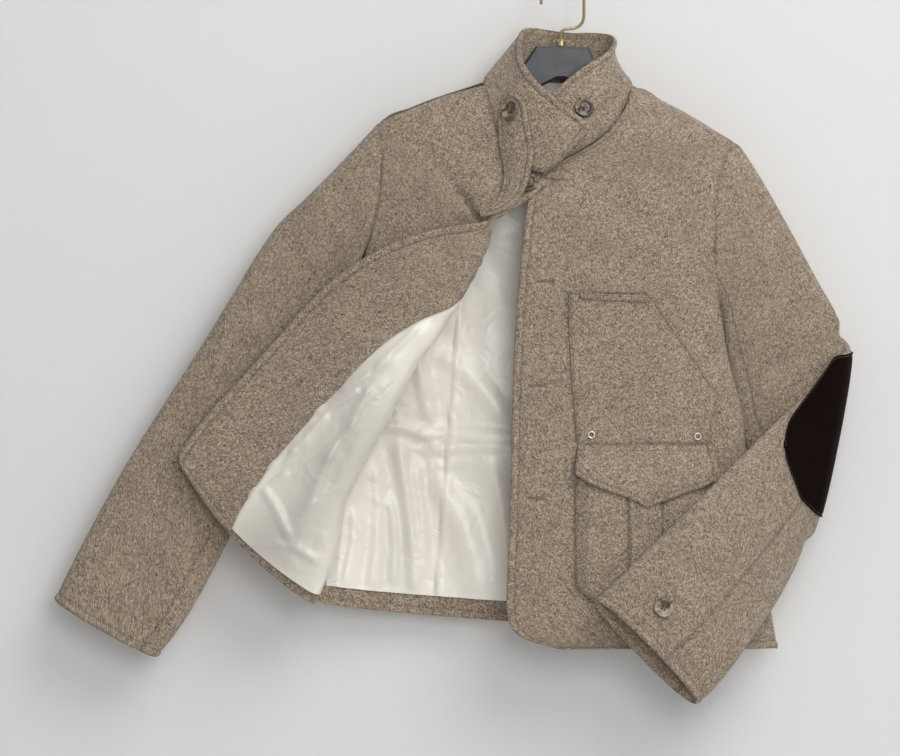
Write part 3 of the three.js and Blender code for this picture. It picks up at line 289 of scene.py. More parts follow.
def crease_rise(cut, points):
    """Rise towards the viewer in millimetres, and painted shade, at an array of places in millimetres."""
    x, z = points[..., 0], points[..., 2]
    rise, lining_rise, mark = np.zeros(x.shape), np.zeros(x.shape), np.zeros(x.shape)
    groups = {cut.node, cut.group, BEHIND_LINING.get(cut.group)}
    rows = [(row, False) for group in CREASES if group in groups for row in CREASES[group]]
    rows += [(row, True) for row in LINING_CREASES.get(cut.group, [])]
    for row, of_lining in rows:
        crease = Crease(*row)
        dx, dz = crease.x2 - crease.x1, crease.z2 - crease.z1
        length = math.hypot(dx, dz)
        along = ((x - crease.x1) * dx + (z - crease.z1) * dz) / length
        across = ((x - crease.x1) * dz - (z - crease.z1) * dx) / length
        bend = crease.width * CREASE_BEND * np.sin(along * math.pi / length)
        past = np.maximum(np.maximum(-along, along - length), 0)
        spread = ((across + bend) / crease.width) ** 2 + (past / (crease.width * CREASE_END)) ** 2
        if of_lining:
            lining_rise += crease.rise * np.exp(-spread)
        else:
            rise += crease.rise * np.exp(-spread)
        # Painted shade of the crease, darkest along its line
        mark = np.maximum(mark, crease.mark * np.exp(-spread))
    rise += np.maximum(lining_rise, -LINING_DIP)
    for place_x, place_z in TRIM_PLACES:
        rise *= 1 - np.exp(-((x - place_x) ** 2 + (z - place_z) ** 2) / GUARD ** 2)
    return rise, mark


TRIM_PLACES = trim_places()


# Finding a wall's grid again

def merged_triangles(node):
    """Points and triangles of a frame node, with its loose corners merged."""
    work = bmesh.new()
    work.from_mesh(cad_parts[node].data)
    bmesh.ops.remove_doubles(work, verts=work.verts, dist=0.002 * MM)
    work.verts.index_update()
    points = np.array([vertex.co[:] for vertex in work.verts]) / MM
    triangles = [tuple(vertex.index for vertex in face.verts) for face in work.faces]
    work.free()
    return points, triangles


CORNER_TRIES = 40  # points nearest to the stated corner that are tried as the grid's first


class WallGrid:
    """Walks the triangles of a wall, whose cells are all cut along the same diagonal."""

    def __init__(self, node, rows, columns):
        self.points, self.triangles = merged_triangles(node)
        self.rows, self.columns = rows, columns
        self.across = {}
        for index, triangle in enumerate(self.triangles):
            for i in range(3):
                edge = frozenset((triangle[i], triangle[(i + 1) % 3]))
                self.across.setdefault(edge, []).append(index)

    def third(self, a, b, came_from):
        """The triangle on the far side of an edge, and its other corner."""
        pair = self.across.get(frozenset((a, b)), [])
        others = [index for index in pair if index != came_from]
        if len(others) != 1:
            return None, None
        corner = [vertex for vertex in self.triangles[others[0]] if vertex not in (a, b)]
        return (others[0], corner[0]) if len(corner) == 1 else (None, None)

    def strip(self, start, above, beside, below, length):
        """One row of cells: the grid lines above and below it, from a first triangle."""
        top, bottom, index = [above, beside], [None, below], start
        first, corner = self.third(above, below, start)
        if first is None:
            return None
        bottom[0] = corner
        for _ in range(length - 2):
            index, low = self.third(top[-1], bottom[-1], index)
            if index is None:
                return None
            bottom.append(low)
            index, high = self.third(top[-1], low, index)
            if index is None:
                return None
            top.append(high)
        return top, bottom, first

    def walk(self, start, above, beside, below):
        """The whole grid from its first triangle, or None if the triangles don't form one."""
        lines = []
        for row in range(self.rows - 1):
            found = self.strip(start, above, beside, below, self.columns)
            if found is None:
                return None
            top, bottom, first = found
            if row == 0:
                lines.append(top)
            elif top != lines[-1]:
                return None
            lines.append(bottom)
            start, below = self.third(bottom[0], bottom[1], first)
            if start is None:
                return None
            above, beside = bottom[0], bottom[1]
        used = [vertex for line in lines for vertex in line]
        if len(set(used)) != len(used):
            return None
        return np.array(lines)

    def sheets(self, corner):
        """Both faces of the wall as index grids that start at a corner."""
        away = np.hypot(self.points[:, 0] - corner[0], self.points[:, 2] - corner[1])
        tries = set(np.argsort(away)[:CORNER_TRIES].tolist())
        found = {}
        for index, triangle in enumerate(self.triangles):
            for a in tries.intersection(triangle):
                b, c = [vertex for vertex in triangle if vertex != a]
                for beside, below in ((b, c), (c, b)):
                    grid = self.walk(index, a, beside, below)
                    if grid is not None:
                        found.setdefault(frozenset(grid.ravel().tolist()), []).append((away[a], grid))
        ranked = sorted(found, key=self.spacing)
        first = ranked[0] if ranked else frozenset()
        second = next((used for used in ranked if len(used & first) < 3), None)
        if second is None:
            raise RuntimeError(f"found {len(found)} grids in {len(self.points)} points at {corner}")
        grids = [min(found[used], key=lambda entry: entry[0])[1] for used in (first, second)]
        shared = first & second
        for grid in grids:
            for row, following in ((0, 1), (-1, -2)):
                for column in (0, -1):
                    if grid[row, column] in shared:
                        grid[row, column] = grid[following, column]
        return grids

    def spacing(self, used):
        """Mean distance from a face's points to the nearest ones that it leaves out."""
        inside = np.array(sorted(used))
        rest = np.setdiff1d(np.arange(len(self.points)), inside)
        gaps = [np.square(self.points[rest] - self.points[i]).sum(axis=1).min() for i in inside]
        return float(np.sqrt(gaps).mean())


def grid_normals(points):
    """Unit normals of a grid of points."""
    down = np.gradient(points, axis=0)
    along = np.gradient(points, axis=1)
    normals = np.cross(down, along)
    length = np.linalg.norm(normals, axis=2, keepdims=True)
    normals = normals / np.maximum(length, 1e-9)
    for column, inward in ((0, 1), (-1, -2)):
        pinched = length[:, column, 0] < 1e-6
        normals[pinched, column] = normals[pinched, inward]
    return normals


def outer_grid(cut):
    """The grid of a cut's outer face, in millimetres, with normals that point out of it."""
    wall = WallGrid(cut.node, cut.rows, cut.columns)
    first, second = [wall.points[grid] for grid in wall.sheets(cut.corner)]
    if cut.face in ("front", "under"):
        chosen, other = (first, second) if first[..., 1].min() < second[..., 1].min() else (second, first)
    elif cut.face == "rear":
        chosen, other = (first, second) if first[..., 1].max() > second[..., 1].max() else (second, first)
    else:
        spread = [np.ptp(grid[..., 1][1:4]) for grid in (first, second)]
        chosen, other = (first, second) if spread[0] > spread[1] else (second, first)
    if cut.face == "under":
        chosen, other = other, chosen
    normals = grid_normals(chosen)
    nearest = other.reshape(-1, 3)
    middle = (chosen.shape[0] // 2, chosen.shape[1] // 2)
    gaps = nearest - chosen[middle]
    twin = gaps[np.argmin(np.linalg.norm(gaps, axis=1))]
    if np.dot(twin, normals[middle]) > 0:
        chosen = chosen[:, ::-1]
        return chosen, True
    return chosen, False


# Smoothing a grid along its lines

# Turns in degrees from which a corner stays sharp: of the pieces with true corners, and of all others
SHARP = {"throat_tab": 24, "pocket_flap": 8, "pocket_bag": 24, "pocket_panel": 22}
SMOOTH = 70
BOWED = {"left_elbow_patch": 3.0, "right_elbow_patch": 3.0}  # how far the first and last row bow outwards
BOW_SHARES = [1.0, 0.55, 0.2]  # of the outermost row and the next two


def hermite(line, at, lengths, sharp):
    """Points on a smooth curve through a line of points, at distances along it."""
    spans = np.diff(lengths)
    slopes = np.diff(line, axis=0) / spans[:, None]
    leaving, arriving = slopes.copy(), slopes.copy()
    weight = (spans[1:] / (spans[:-1] + spans[1:]))[:, None]
    shared = weight * slopes[:-1] + (1 - weight) * slopes[1:]
    turn = (slopes[:-1] * slopes[1:]).sum(axis=1) < math.cos(math.radians(sharp))
    leaving[1:] = np.where(turn[:, None], slopes[1:], shared)
    arriving[:-1] = np.where(turn[:, None], slopes[:-1], shared)
    index = np.clip(np.searchsorted(lengths, at, side="right") - 1, 0, len(spans) - 1)
    span = spans[index][:, None]
    f = (at - lengths[index])[:, None] / span
    start, end = line[index], line[index + 1]
    rise = f * f * (3 - 2 * f)
    early = f * (1 - f) ** 2 * span * leaving[index]
    late = f * f * (f - 1) * span * arriving[index]
    return start * (1 - rise) + end * rise + early + late


def bowed(points, reach):
    """A grid whose first and last rows bow outwards into a round outline."""
    points = points.copy()
    share = np.linspace(0, 1, points.shape[1])
    arch = (4 * share * (1 - share))[:, None]
    for edge, inward in ((0, 1), (-1, -2)):
        outward = points[edge] - points[inward]
        outward = outward / np.linalg.norm(outward, axis=1, keepdims=True)
        for depth, part in enumerate(BOW_SHARES):
            row = edge + (inward - edge) * depth
            points[row] += outward * arch * reach * part
    return points


POINTED = {"pocket_flap": 4.2}  # how far the middle of the last row runs on to a point


def pointed(points, reach):
    """A grid with one more column in its middle, whose last rows run on to a point."""
    middle = points.shape[1] // 2
    column = (points[:, middle - 1] + points[:, middle]) / 2
    onward = column[-1] - column[-2]
    share = np.linspace(0, 1, len(points))[:, None] ** 2
    column = column + onward / np.linalg.norm(onward) * reach * share
    return np.insert(points, middle, column, axis=1)


EDGE_STEPS = np.array([0.0, 1.0, 2.4, 4.2, 6.2, 7.6, 8.5, 9.4, 11.5])
STITCH_STEP = 6  # the edge step on which most topstitching lies
ENDS_SHARE = 0.42  # of a short line that its edge steps take at each end


def line_stations(length, total):
    """Distances along a line: fine steps near both ends, even ones between."""
    shrink = min(1.0, ENDS_SHARE * length / EDGE_STEPS[-1])
    ends = EDGE_STEPS * shrink
    inner = np.linspace(ends[-1], length - ends[-1], total + 2)[1:-1]
    return np.concatenate([ends, inner, length - ends[::-1]])


def refine(points, step, sharp):
    """A finer grid through the same points, with each line's own distances from both its ends."""
    for axis in (1, 0):
        lines = points if axis == 1 else points.transpose(1, 0, 2)
        lengths = []
        for line in lines:
            spans = np.maximum(np.linalg.norm(np.diff(line, axis=0), axis=1), 1e-4)
            lengths.append(np.concatenate([[0], np.cumsum(spans)]))
        longest = max(entry[-1] for entry in lengths)
        total = max(int((longest - 2 * EDGE_STEPS[-1]) / step), 2)
        fine = [hermite(line, line_stations(entry[-1], total), entry, sharp)
                for line, entry in zip(lines, lengths)]
        points = np.array(fine) if axis == 1 else np.array(fine).transpose(1, 0, 2)
    return points


def run_lengths(points, axis):
    """Distance along a grid's lines from their start."""
    spans = np.linalg.norm(np.diff(points, axis=axis), axis=2)
    zero = np.zeros_like(np.take(spans, [0], axis=axis))
    return np.concatenate([zero, np.cumsum(spans, axis=axis)], axis=axis)


def smooth_step(value, low, high):
    """A soft step from 0 to 1 between two values."""
    f = np.clip((value - low) / (high - low), 0, 1)
    return f * f * (3 - 2 * f)


# Edges that are turned and topstitched: top and foot are the first and last rows, start and end the
# first and last columns

EDGES = {
    "back": ["foot"],
    "left_front": ["start", "foot"],
    "right_front": ["start", "foot"],
    "right_facing": ["start", "foot"],
    "right_sleeve_top": ["foot"],
    "right_sleeve_under": ["foot"],
    "left_sleeve_top": ["foot"],
    "left_sleeve_under": ["foot"],
    "collar": ["foot", "start", "end"],
    "throat_tab": ["start", "end", "top", "foot"],
    "pocket_panel": ["top", "start", "end"],
    "pocket_flap": ["foot", "start", "end"],
    "pocket_bag": ["foot", "start", "end"],
    "left_elbow_patch": ["top", "foot", "start", "end"],
    "right_elbow_patch": ["top", "foot", "start", "end"],
}
INSETS = {
    "left_elbow_patch": 2.4, "right_elbow_patch": 2.4, "pocket_panel": 2.4, "pocket_bag": 2.4,
    "throat_tab": 6.2, "collar": 7.0, "pocket_flap": 6.6,
}

# Edges that are sewn to a neighbour: the cloth goes on under it, as a seam allowance does
SEAMS = {
    "back": ["top", "start", "end"],
    "back_lining": ["start", "end"],
    "left_front": ["top", "end"],
    "right_front": ["top", "end"],
    "right_facing": ["top"],
    "right_front_lining": ["top", "start", "end"],
    "right_sleeve_top": ["top", "start", "end"],
    "right_sleeve_under": ["top", "start", "end"],
    "left_sleeve_top": ["top", "start", "end"],
    "left_sleeve_under": ["top", "start", "end"],
    "collar": ["top"],
    "pocket_panel": ["foot"],
    "pocket_flap": ["top"],
    "pocket_bag": ["top"],
}
# How far on, and how far under, for each line of a seam allowance: of most edges, of the sleeve heads,
# and of the side of the back and its lining behind the open front
ALLOWANCE = [(1.2, 0.5), (2.6, 1.7)]
DEEP_ALLOWANCE = [(1.2, 0.4), (3.5, 1.8), (8.0, 3.4)]
WIDE_ALLOWANCE = [(8.0, 0.0), (16.0, 0.0), (26.0, 0.2)]
WIDE_LEAST = 0.1  # share of the wide one along the shoulder and the armhole
WIDE_FROM = (330.0, 400.0)  # how far under the hook it starts to widen, and is full


def allowances(node, edge):
    """The lines of a seam allowance."""
    if node in ("right_sleeve_top", "left_sleeve_top") and edge == "top":
        return DEEP_ALLOWANCE
    if node in ("back", "back_lining") and edge == "start":
        return WIDE_ALLOWANCE
    return ALLOWANCE


# Corners near which the allowance is trimmed away, within a reach of which the nearest part has none
Trim = namedtuple("Trim", "node x z reach")
TRIMS = [Trim("left_front", 111.7, -131.7, 18.0)]
TRIM_BARE = 0.3


def allowance_share(node, edge, line):
    """Share of the allowance that is left at each point of a line."""
    share = np.ones(line.shape[:2] + (1,))
    if allowances(node, edge) is WIDE_ALLOWANCE:
        share = WIDE_LEAST + (1 - WIDE_LEAST) * smooth_step(-line[..., 2:], *WIDE_FROM)
    for trim in TRIMS:
        if trim.node == node:
            away = np.hypot(line[..., 0] - trim.x, line[..., 2] - trim.z)[..., None]
            share = np.minimum(share, smooth_step(away, TRIM_BARE * trim.reach, trim.reach))
    return share


EVENED = 4  # neighbours on both sides that a direction is averaged with


def evened(directions):
    """A line of directions, each averaged with its neighbours."""
    flat = directions.reshape(-1, 3)
    padded = np.pad(flat, ((EVENED, EVENED), (0, 0)), mode="edge")
    mean = sum(padded[i:i + len(flat)] for i in range(2 * EVENED + 1))
    length = np.maximum(np.linalg.norm(mean, axis=1, keepdims=True), 1e-6)
    return (mean / length).reshape(directions.shape)


# Places where the body's side fills out behind the left sleeve, by how far it moves along X
Bulge = namedtuple("Bulge", "x z width height shift")
BULGES = [Bulge(190, -470, 30, 60, 7.5), Bulge(172, -370, 24, 55, 4.5)]
BULGING = ["left_front", "back", "back_lining"]


def bulge_shift(points):
    """Shift along X at an array of places in millimetres."""
    shift = np.zeros(points.shape[:2])
    for bulge in BULGES:
        inside = np.minimum(points[..., 0] - bulge.x, 0) / bulge.width
        level = (points[..., 2] - bulge.z) / bulge.height
        shift += bulge.shift * np.exp(-inside ** 2 - level ** 2)
    return shift


# Shape and painted shade beside edges and seams: shade is painted in the stitching's groove, along the
# rolled edge and along the dip at seams. Heights are shares of the edge puff or, at seams,
# millimetres. Widths are in millimetres.
CUSHION_POWER = 0.7  # below 1 the cushion between edge and stitches has fuller shoulders
GROOVE_DEPTH, GROOVE_WIDTH = 0.45, 1.1
ROLL_DEPTH, ROLL_WIDTH = 0.5, 0.9
STITCH_SHADE, STITCH_SHADE_WIDTH = 0.42, 1.2
EDGE_SHADE = 0.4
SEAM_DEPTH, SEAM_SHADE, SEAM_WIDTH = 0.5, 0.5, 1.5
STITCH_LIFT = 0.1  # of the stitches over the cloth
LEAST_STEP = 0.2  # shortest last step that still gives an allowance its direction


def soft_line(away, width):
    """1 on a line, fading to both sides of it."""
    return np.exp(-(away / width) ** 2)


def add_object(name, data):
    """Makes an object and puts it in the scene."""
    piece = bpy.data.objects.new(name, data)
    bpy.context.scene.collection.objects.link(piece)
    return piece


class Cloth:
    """One piece of cloth: its fine outer grid and what was added to it."""

    def __init__(self, cut, settings):
        self.cut = cut
        points, self.turned = outer_grid(cut)
        if cut.node in BOWED:
            points = bowed(points, BOWED[cut.node])
        if cut.node in POINTED:
            points = pointed(points, POINTED[cut.node])
        self.points = refine(points, cut.step, SHARP.get(cut.node, SMOOTH))
        across = run_lengths(self.points, 1)
        down = run_lengths(self.points, 0)
        self.across, self.down = across, down
        self.away = {
            "start": across, "end": across[:, -1:] - across,
            "top": down, "foot": down[-1:] - down,
        }
        if self.turned:
            self.away["start"], self.away["end"] = self.away["end"], self.away["start"]
        if cut.node in BULGING:
            self.points[..., 0] += bulge_shift(self.points)
        rise, self.shade = crease_rise(cut, self.points)
        self.points = self.points + rise[..., None] * VIEWER
        self.normals = grid_normals(self.points)
        self.puff = self.edge_swell(settings)

    def inset(self):
        """Distance of the topstitching's groove from the edge."""
        return INSETS.get(self.cut.node, EDGE_STEPS[STITCH_STEP])

    def edge_swell(self, settings):
        """How far the outer face stands proud beside its turned edges, and the painted shade there and at
        seams.
        """
        swell = np.zeros(self.points.shape[:2])
        inset = self.inset()
        height = settings.edge_puff / MM
        for edge in EDGES.get(self.cut.node, []):
            away = self.away[edge]
            cushion = np.sin(np.clip(away / inset, 0, 1) * math.pi) ** CUSHION_POWER * height
            groove = -GROOVE_DEPTH * height * soft_line(away - inset, GROOVE_WIDTH)
            roll = -ROLL_DEPTH * height * soft_line(away, ROLL_WIDTH)
            profile = cushion + groove + roll
            swell = np.where(np.abs(profile) > np.abs(swell), profile, swell)
            # Painted shade in the stitching's groove and along the rolled edge
            stitched = STITCH_SHADE * soft_line(away - inset, STITCH_SHADE_WIDTH)
            turned = EDGE_SHADE * soft_line(away, ROLL_WIDTH)
            self.shade = np.maximum(self.shade, stitched + turned)
        for edge in SEAMS.get(self.cut.node, []):
            # Painted shade along the dip at seams
            near = soft_line(self.away[edge], SEAM_WIDTH)
            swell = swell - SEAM_DEPTH * near
            self.shade = np.maximum(self.shade, SEAM_SHADE * near)
        return swell

    def line(self, edge, distance, start=0.0, end=1.0):
        """A line on the outer face beside an edge, from one share of its length to another."""
        away = self.away[edge]
        surface = self.points + (self.puff[..., None] + STITCH_LIFT) * self.normals
        if edge in ("top", "foot"):
            away, surface = away.T, surface.transpose(1, 0, 2)
        count = len(surface)
        rows = range(int(start * (count - 1)), int(end * (count - 1)) + 1)
        places = []
        for row in rows:
            order = np.argsort(away[row])
            distances, spots = away[row][order], surface[row][order]
            places.append([np.interp(distance, distances, spots[:, k]) for k in range(3)])
        return np.array(places)

    def side(self, edge):
        """The axis that an edge ends, and the index of its line there."""
        if edge in ("top", "foot"):
            return 0, 0 if edge == "top" else -1
        return 1, -1 if (edge == "end") != self.turned else 0

    def with_allowances(self):
        """Points, normals, puff, shade and grain, carried on under the neighbours at the seams."""
        grain = np.stack([self.across, -self.down], axis=2)
        layers = [self.points, self.normals, self.puff[..., None], self.shade[..., None], grain]
        for edge in SEAMS.get(self.cut.node, []):
            axis, index = self.side(edge)
            before = 1 if index == 0 else -2
            ends = [np.take(layer, [index], axis=axis) for layer in layers]
            inward = [np.take(layer, [before], axis=axis) for layer in layers]
            onward = ends[0] - inward[0]
            reach = np.maximum(np.linalg.norm(onward, axis=2, keepdims=True), LEAST_STEP)
            share = allowance_share(self.cut.node, edge, ends[0])
            onward, under_way = evened(onward / reach) * share, evened(ends[1]) * share
            grain_on = (ends[4] - inward[4]) / reach
            for number in range(len(layers)):
                added = []
                for on, under in allowances(self.cut.node, edge):
                    line = ends[number]
                    if number == 0:
                        line = line + onward * on - under_way * under
                    if number == 4:
                        line = line + grain_on * on
                    added.append(line)
                if index == 0:
                    layers[number] = np.concatenate([*added[::-1], layers[number]], axis=axis)
                else:
                    layers[number] = np.concatenate([layers[number], *added], axis=axis)
        return layers

    def build(self, material):
        """The closed wall as a mesh object with a UV map along its grain."""
        points, normals, puff, shade, grain = self.with_allowances()
        outer = points + puff * normals
        inner = points - self.cut.wall * normals
        rows, columns = outer.shape[:2]
        count = rows * columns
        vertices = np.concatenate([outer.reshape(-1, 3), inner.reshape(-1, 3)]) * MM
        a = (np.arange(rows - 1)[:, None] * columns + np.arange(columns - 1)[None, :]).ravel()
        top = np.stack([a, a + columns, a + columns + 1, a + 1], axis=1)
        under = top[:, ::-1] + count
        loop = np.concatenate([
            np.arange(columns - 1), np.arange(rows - 1) * columns + columns - 1,
            count - 1 - np.arange(columns - 1), (rows - 1 - np.arange(rows - 1)) * columns,
        ])
        following = np.roll(loop, -1)
        rim = np.stack([loop, following, following + count, loop + count], axis=1)
        faces = np.concatenate([top, under, rim])
        mesh = bpy.data.meshes.new(self.cut.node)
        mesh.from_pydata(vertices.tolist(), [], faces.tolist())
        mesh.polygons.foreach_set("use_smooth", np.ones(len(faces), dtype=bool))
        self.write_layers(mesh, grain, shade)
        work = bmesh.new()
        work.from_mesh(mesh)
        work.faces.ensure_lookup_table()
        for face in work.faces[len(top) + len(under):]:
            for edge in face.edges:
                edge.smooth = not any(link.index < len(top) + len(under) for link in edge.link_faces)
        work.to_mesh(mesh)
        work.free()
        mesh.materials.append(material)
        return add_object("cloth_" + self.cut.node, mesh)

    def write_layers(self, mesh, grain, shade):
        """Lays the grain in metres, the columns across and the rows down, and the painted shade of
        grooves, edges, seams and creases.
        """
        layer = mesh.uv_layers.new(name="grain")
        flat = grain.reshape(-1, 2) * MM
        both = np.concatenate([flat, flat])
        corner = np.empty(len(mesh.loops), dtype=np.int32)
        mesh.loops.foreach_get("vertex_index", corner)
        layer.data.foreach_set("uv", both[corner].astype(np.float32).ravel())
        # The painted shade, kept as an attribute for the materials
        dark = mesh.attributes.new("painted_shade_layer", "FLOAT", "POINT")
        dark.data.foreach_set("value", np.concatenate([shade.ravel(), shade.ravel()]).astype(np.float32))


CLOTH = {}


def settings_of(context):
    scene = context.scene
    return scene.jacket_cloth, scene.jacket_trims, scene.jacket_stage


def sew(context, nodes):
    """Builds the named pieces of cloth and puts each on the frame."""
    cloth_settings = settings_of(context)[0]
    for cut in CUTS:
        if cut.node not in nodes:
            continue
        cloth = Cloth(cut, cloth_settings)
        CLOTH[cut.node] = cloth
        piece = cloth.build(material_for(cut.slot, context))
        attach(piece, BODY)
        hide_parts(cut.node)


# Shader building

def wire(tree, first, output, second, socket):
    """Links an output of one node to an input of another."""
    tree.links.new(first.outputs[output], second.inputs[socket])


def add_node(tree, kind, place=(0, 0), **values):
    """A shader node with its settings, and with its unlinked inputs set by name."""
    node = tree.nodes.new(kind)
    node.location = place
    for name, value in values.items():
        if name in node.inputs:
            node.inputs[name].default_value = value
        else:
            setattr(node, name, value)
    return node


def new_group(name, inputs, outputs):
    """An empty shader group with its named sockets."""
    tree = bpy.data.node_groups.new(name, "ShaderNodeTree")
    for label, kind, default in inputs:
        socket = tree.interface.new_socket(name=label, in_out="INPUT", socket_type=kind)
        if default is not None:
            socket.default_value = default
    for label, kind in outputs:
        tree.interface.new_socket(name=label, in_out="OUTPUT", socket_type=kind)
    return tree, tree.nodes.new("NodeGroupInput"), tree.nodes.new("NodeGroupOutput")


def math_node(tree, operation, first, second=None, clamp=False):
    """A Math node fed by sockets or numbers."""
    node = tree.nodes.new("ShaderNodeMath")
    node.operation = operation
    node.use_clamp = clamp
    for socket, value in zip(node.inputs, (first, second)):
        if isinstance(value, bpy.types.NodeSocket):
            tree.links.new(value, socket)
        elif value is not None:
            socket.default_value = value
    return node.outputs[0]


def mix_colors(tree, factor, first, second, blend="MIX"):
    """A colour mix fed by sockets or values."""
    node = tree.nodes.new("ShaderNodeMix")
    node.data_type = "RGBA"
    node.blend_type = blend
    sockets = [node.inputs["Factor"], node.inputs[6], node.inputs[7]]
    for socket, value in zip(sockets, (factor, first, second)):
        if isinstance(value, bpy.types.NodeSocket):
            tree.links.new(value, socket)
        else:
            socket.default_value = value
    return node.outputs[2]


def yarn_cells(tree, vector, density):
    """One random number and the height for each yarn of a weave."""
    cells = add_node(tree, "ShaderNodeTexVoronoi", feature="F1")
    tree.links.new(vector, cells.inputs["Vector"])
    tree.links.new(density, cells.inputs["Scale"])
    parts = tree.nodes.new("ShaderNodeSeparateColor")
    wire(tree, cells, "Color", parts, "Color")
    return parts.outputs, cells.outputs["Distance"]


# Flecks of the tweed: cells to a metre, reach in a cell, colour, and the share of the cells with one
Fleck = namedtuple("Fleck", "scale reach tint share")
FLECKS = [
    Fleck(120.0, 0.13, (0.5, 0.43, 0.34, 1), 0.5),
    Fleck(72.0, 0.1, (0.035, 0.022, 0.014, 1), 0.5),
    Fleck(48.0, 0.06, (0.2, 0.095, 0.04, 1), 0.4),
]


def tweed_group():
    """Salt-and-pepper yarns with a faint twill, dark and cream flecks."""
    color, number, vector = "NodeSocketColor", "NodeSocketFloat", "NodeSocketVector"
    tree, source, target = new_group("woven tweed", [
        ("Vector", vector, None), ("Grain", vector, None), ("Yarns per Metre", number, 620.0),
        ("Light", color, (0.4, 0.33, 0.26, 1)), ("Middle", color, (0.2, 0.16, 0.12, 1)),
        ("Dark", color, (0.07, 0.05, 0.04, 1)),
    ], [("Color", color), ("Height", number)])
    density = source.outputs["Yarns per Metre"]
    stretched = add_node(tree, "ShaderNodeMapping", Scale=(1.0, 0.8, 1.0))
    wire(tree, source, "Grain", stretched, "Vector")
    fine, fine_height = yarn_cells(tree, stretched.outputs["Vector"], density)
    coarse_density = math_node(tree, "MULTIPLY", density, 0.42)
    coarse, _ = yarn_cells(tree, source.outputs["Vector"], coarse_density)
    blended = math_node(tree, "ADD", math_node(tree, "MULTIPLY", fine["Red"], 0.74),
                        math_node(tree, "MULTIPLY", coarse["Red"], 0.26))
    light = math_node(tree, "MULTIPLY", math_node(tree, "SUBTRACT", blended, 0.5, True), 2.3, True)
    dark = math_node(tree, "MULTIPLY", math_node(tree, "SUBTRACT", 0.44, blended, True), 2.6, True)
    yarns = mix_colors(tree, light, source.outputs["Middle"], source.outputs["Light"])
    yarns = mix_colors(tree, dark, yarns, source.outputs["Dark"])
    mottle = add_node(tree, "ShaderNodeTexNoise", Scale=26.0, Detail=3.0, Roughness=0.6)
    wire(tree, source, "Vector", mottle, "Vector")
    shade = math_node(tree, "ADD", math_node(tree, "MULTIPLY", mottle.outputs["Fac"], 0.34), 0.83)
    grey = tree.nodes.new("ShaderNodeCombineColor")
    for name in ("Red", "Green", "Blue"):
        tree.links.new(shade, grey.inputs[name])
    yarns = mix_colors(tree, 1.0, yarns, grey.outputs["Color"], "MULTIPLY")
    for scale, reach, tint, share in FLECKS:
        fleck = add_node(tree, "ShaderNodeTexVoronoi", feature="F1", Scale=scale)
        wire(tree, source, "Vector", fleck, "Vector")
        near = math_node(tree, "LESS_THAN", fleck.outputs["Distance"], reach)
        parts = tree.nodes.new("ShaderNodeSeparateColor")
        wire(tree, fleck, "Color", parts, "Color")
        chosen = math_node(tree, "LESS_THAN", parts.outputs["Green"], share)
        picked = math_node(tree, "MULTIPLY", near, chosen)
        yarns = mix_colors(tree, math_node(tree, "MULTIPLY", picked, 0.6), yarns, tint)
    twill = add_node(tree, "ShaderNodeTexWave", wave_type="BANDS", bands_direction="DIAGONAL",
                     Scale=105.0, Distortion=1.2, Detail=1.0)
    wire(tree, source, "Grain", twill, "Vector")
    height = math_node(tree, "SUBTRACT", math_node(tree, "MULTIPLY", twill.outputs["Fac"], 0.35),
                       fine_height)
    tree.links.new(yarns, target.inputs["Color"])
    tree.links.new(height, target.inputs["Height"])
    return tree


def rumple_group():
    """Soft unevenness of hanging cloth, as a height."""
    number, vector = "NodeSocketFloat", "NodeSocketVector"
    tree, source, target = new_group("soft rumple", [
        ("Vector", vector, None), ("Scale", number, 24.0), ("Twist", number, 0.6),
    ], [("Height", number)])
    noise = add_node(tree, "ShaderNodeTexNoise", Detail=2.0, Roughness=0.45)
    wire(tree, source, "Vector", noise, "Vector")
    wire(tree, source, "Scale", noise, "Scale")
    wire(tree, source, "Twist", noise, "Distortion")
    wire(tree, noise, "Fac", target, "Height")
    return tree


def group_node(tree, make):
    """Places a shared group, built the first time that it is asked for."""
    shared = GROUPS.get(make.__name__)
    if shared is None:
        shared = make()
        GROUPS[make.__name__] = shared
    node = tree.nodes.new("ShaderNodeGroup")
    node.node_tree = shared
    return node


GROUPS = {}
MATERIALS = {}


def start_material(name, **values):
    """A material with a Principled shader whose constants are set on its own sockets."""
    material = bpy.data.materials.new(name)
    material.use_nodes = True
    tree = material.node_tree
    shader = tree.nodes["Principled BSDF"]
    for label, value in values.items():
        shader.inputs[label.replace("_", " ")].default_value = value
    place = tree.nodes.new("ShaderNodeTexCoord")
    return material, tree, shader, place


def object_noise(tree, place, **values):
    """A noise texture in the object's own space."""
    noise = add_node(tree, "ShaderNodeTexNoise", **values)
    wire(tree, place, "Object", noise, "Vector")
    return noise


def mix_base(tree, shader, factor, first, second):
    """Two colours mixed into the shader's base colour."""
    tree.links.new(mix_colors(tree, factor, first, second), shader.inputs["Base Color"])


def add_bump(tree, shader, height, distance, strength, after=None):
    """A Bump node into the shader's normal, on top of an earlier one."""
    bump = add_node(tree, "ShaderNodeBump", Distance=distance, Strength=strength)
    tree.links.new(height, bump.inputs["Height"])
    if after is not None:
        wire(tree, after, "Normal", bump, "Normal")
    wire(tree, bump, "Normal", shader, "Normal")
    return bump


def rgba(color):
    return (*color, 1.0)


# Near-black colour that the painted shade mixes in
PAINTED_SHADE_COLOR = (0.012, 0.009, 0.007, 1)


def with_painted_shade(tree, color, strength):
    """A colour darkened towards a near-black by the painted shade attribute of the mesh."""
    painted_shade_layer = add_node(tree, "ShaderNodeAttribute", attribute_name="painted_shade_layer")
    share = math_node(tree, "MULTIPLY", painted_shade_layer.outputs["Fac"], strength, True)
    return mix_colors(tree, share, color, PAINTED_SHADE_COLOR)


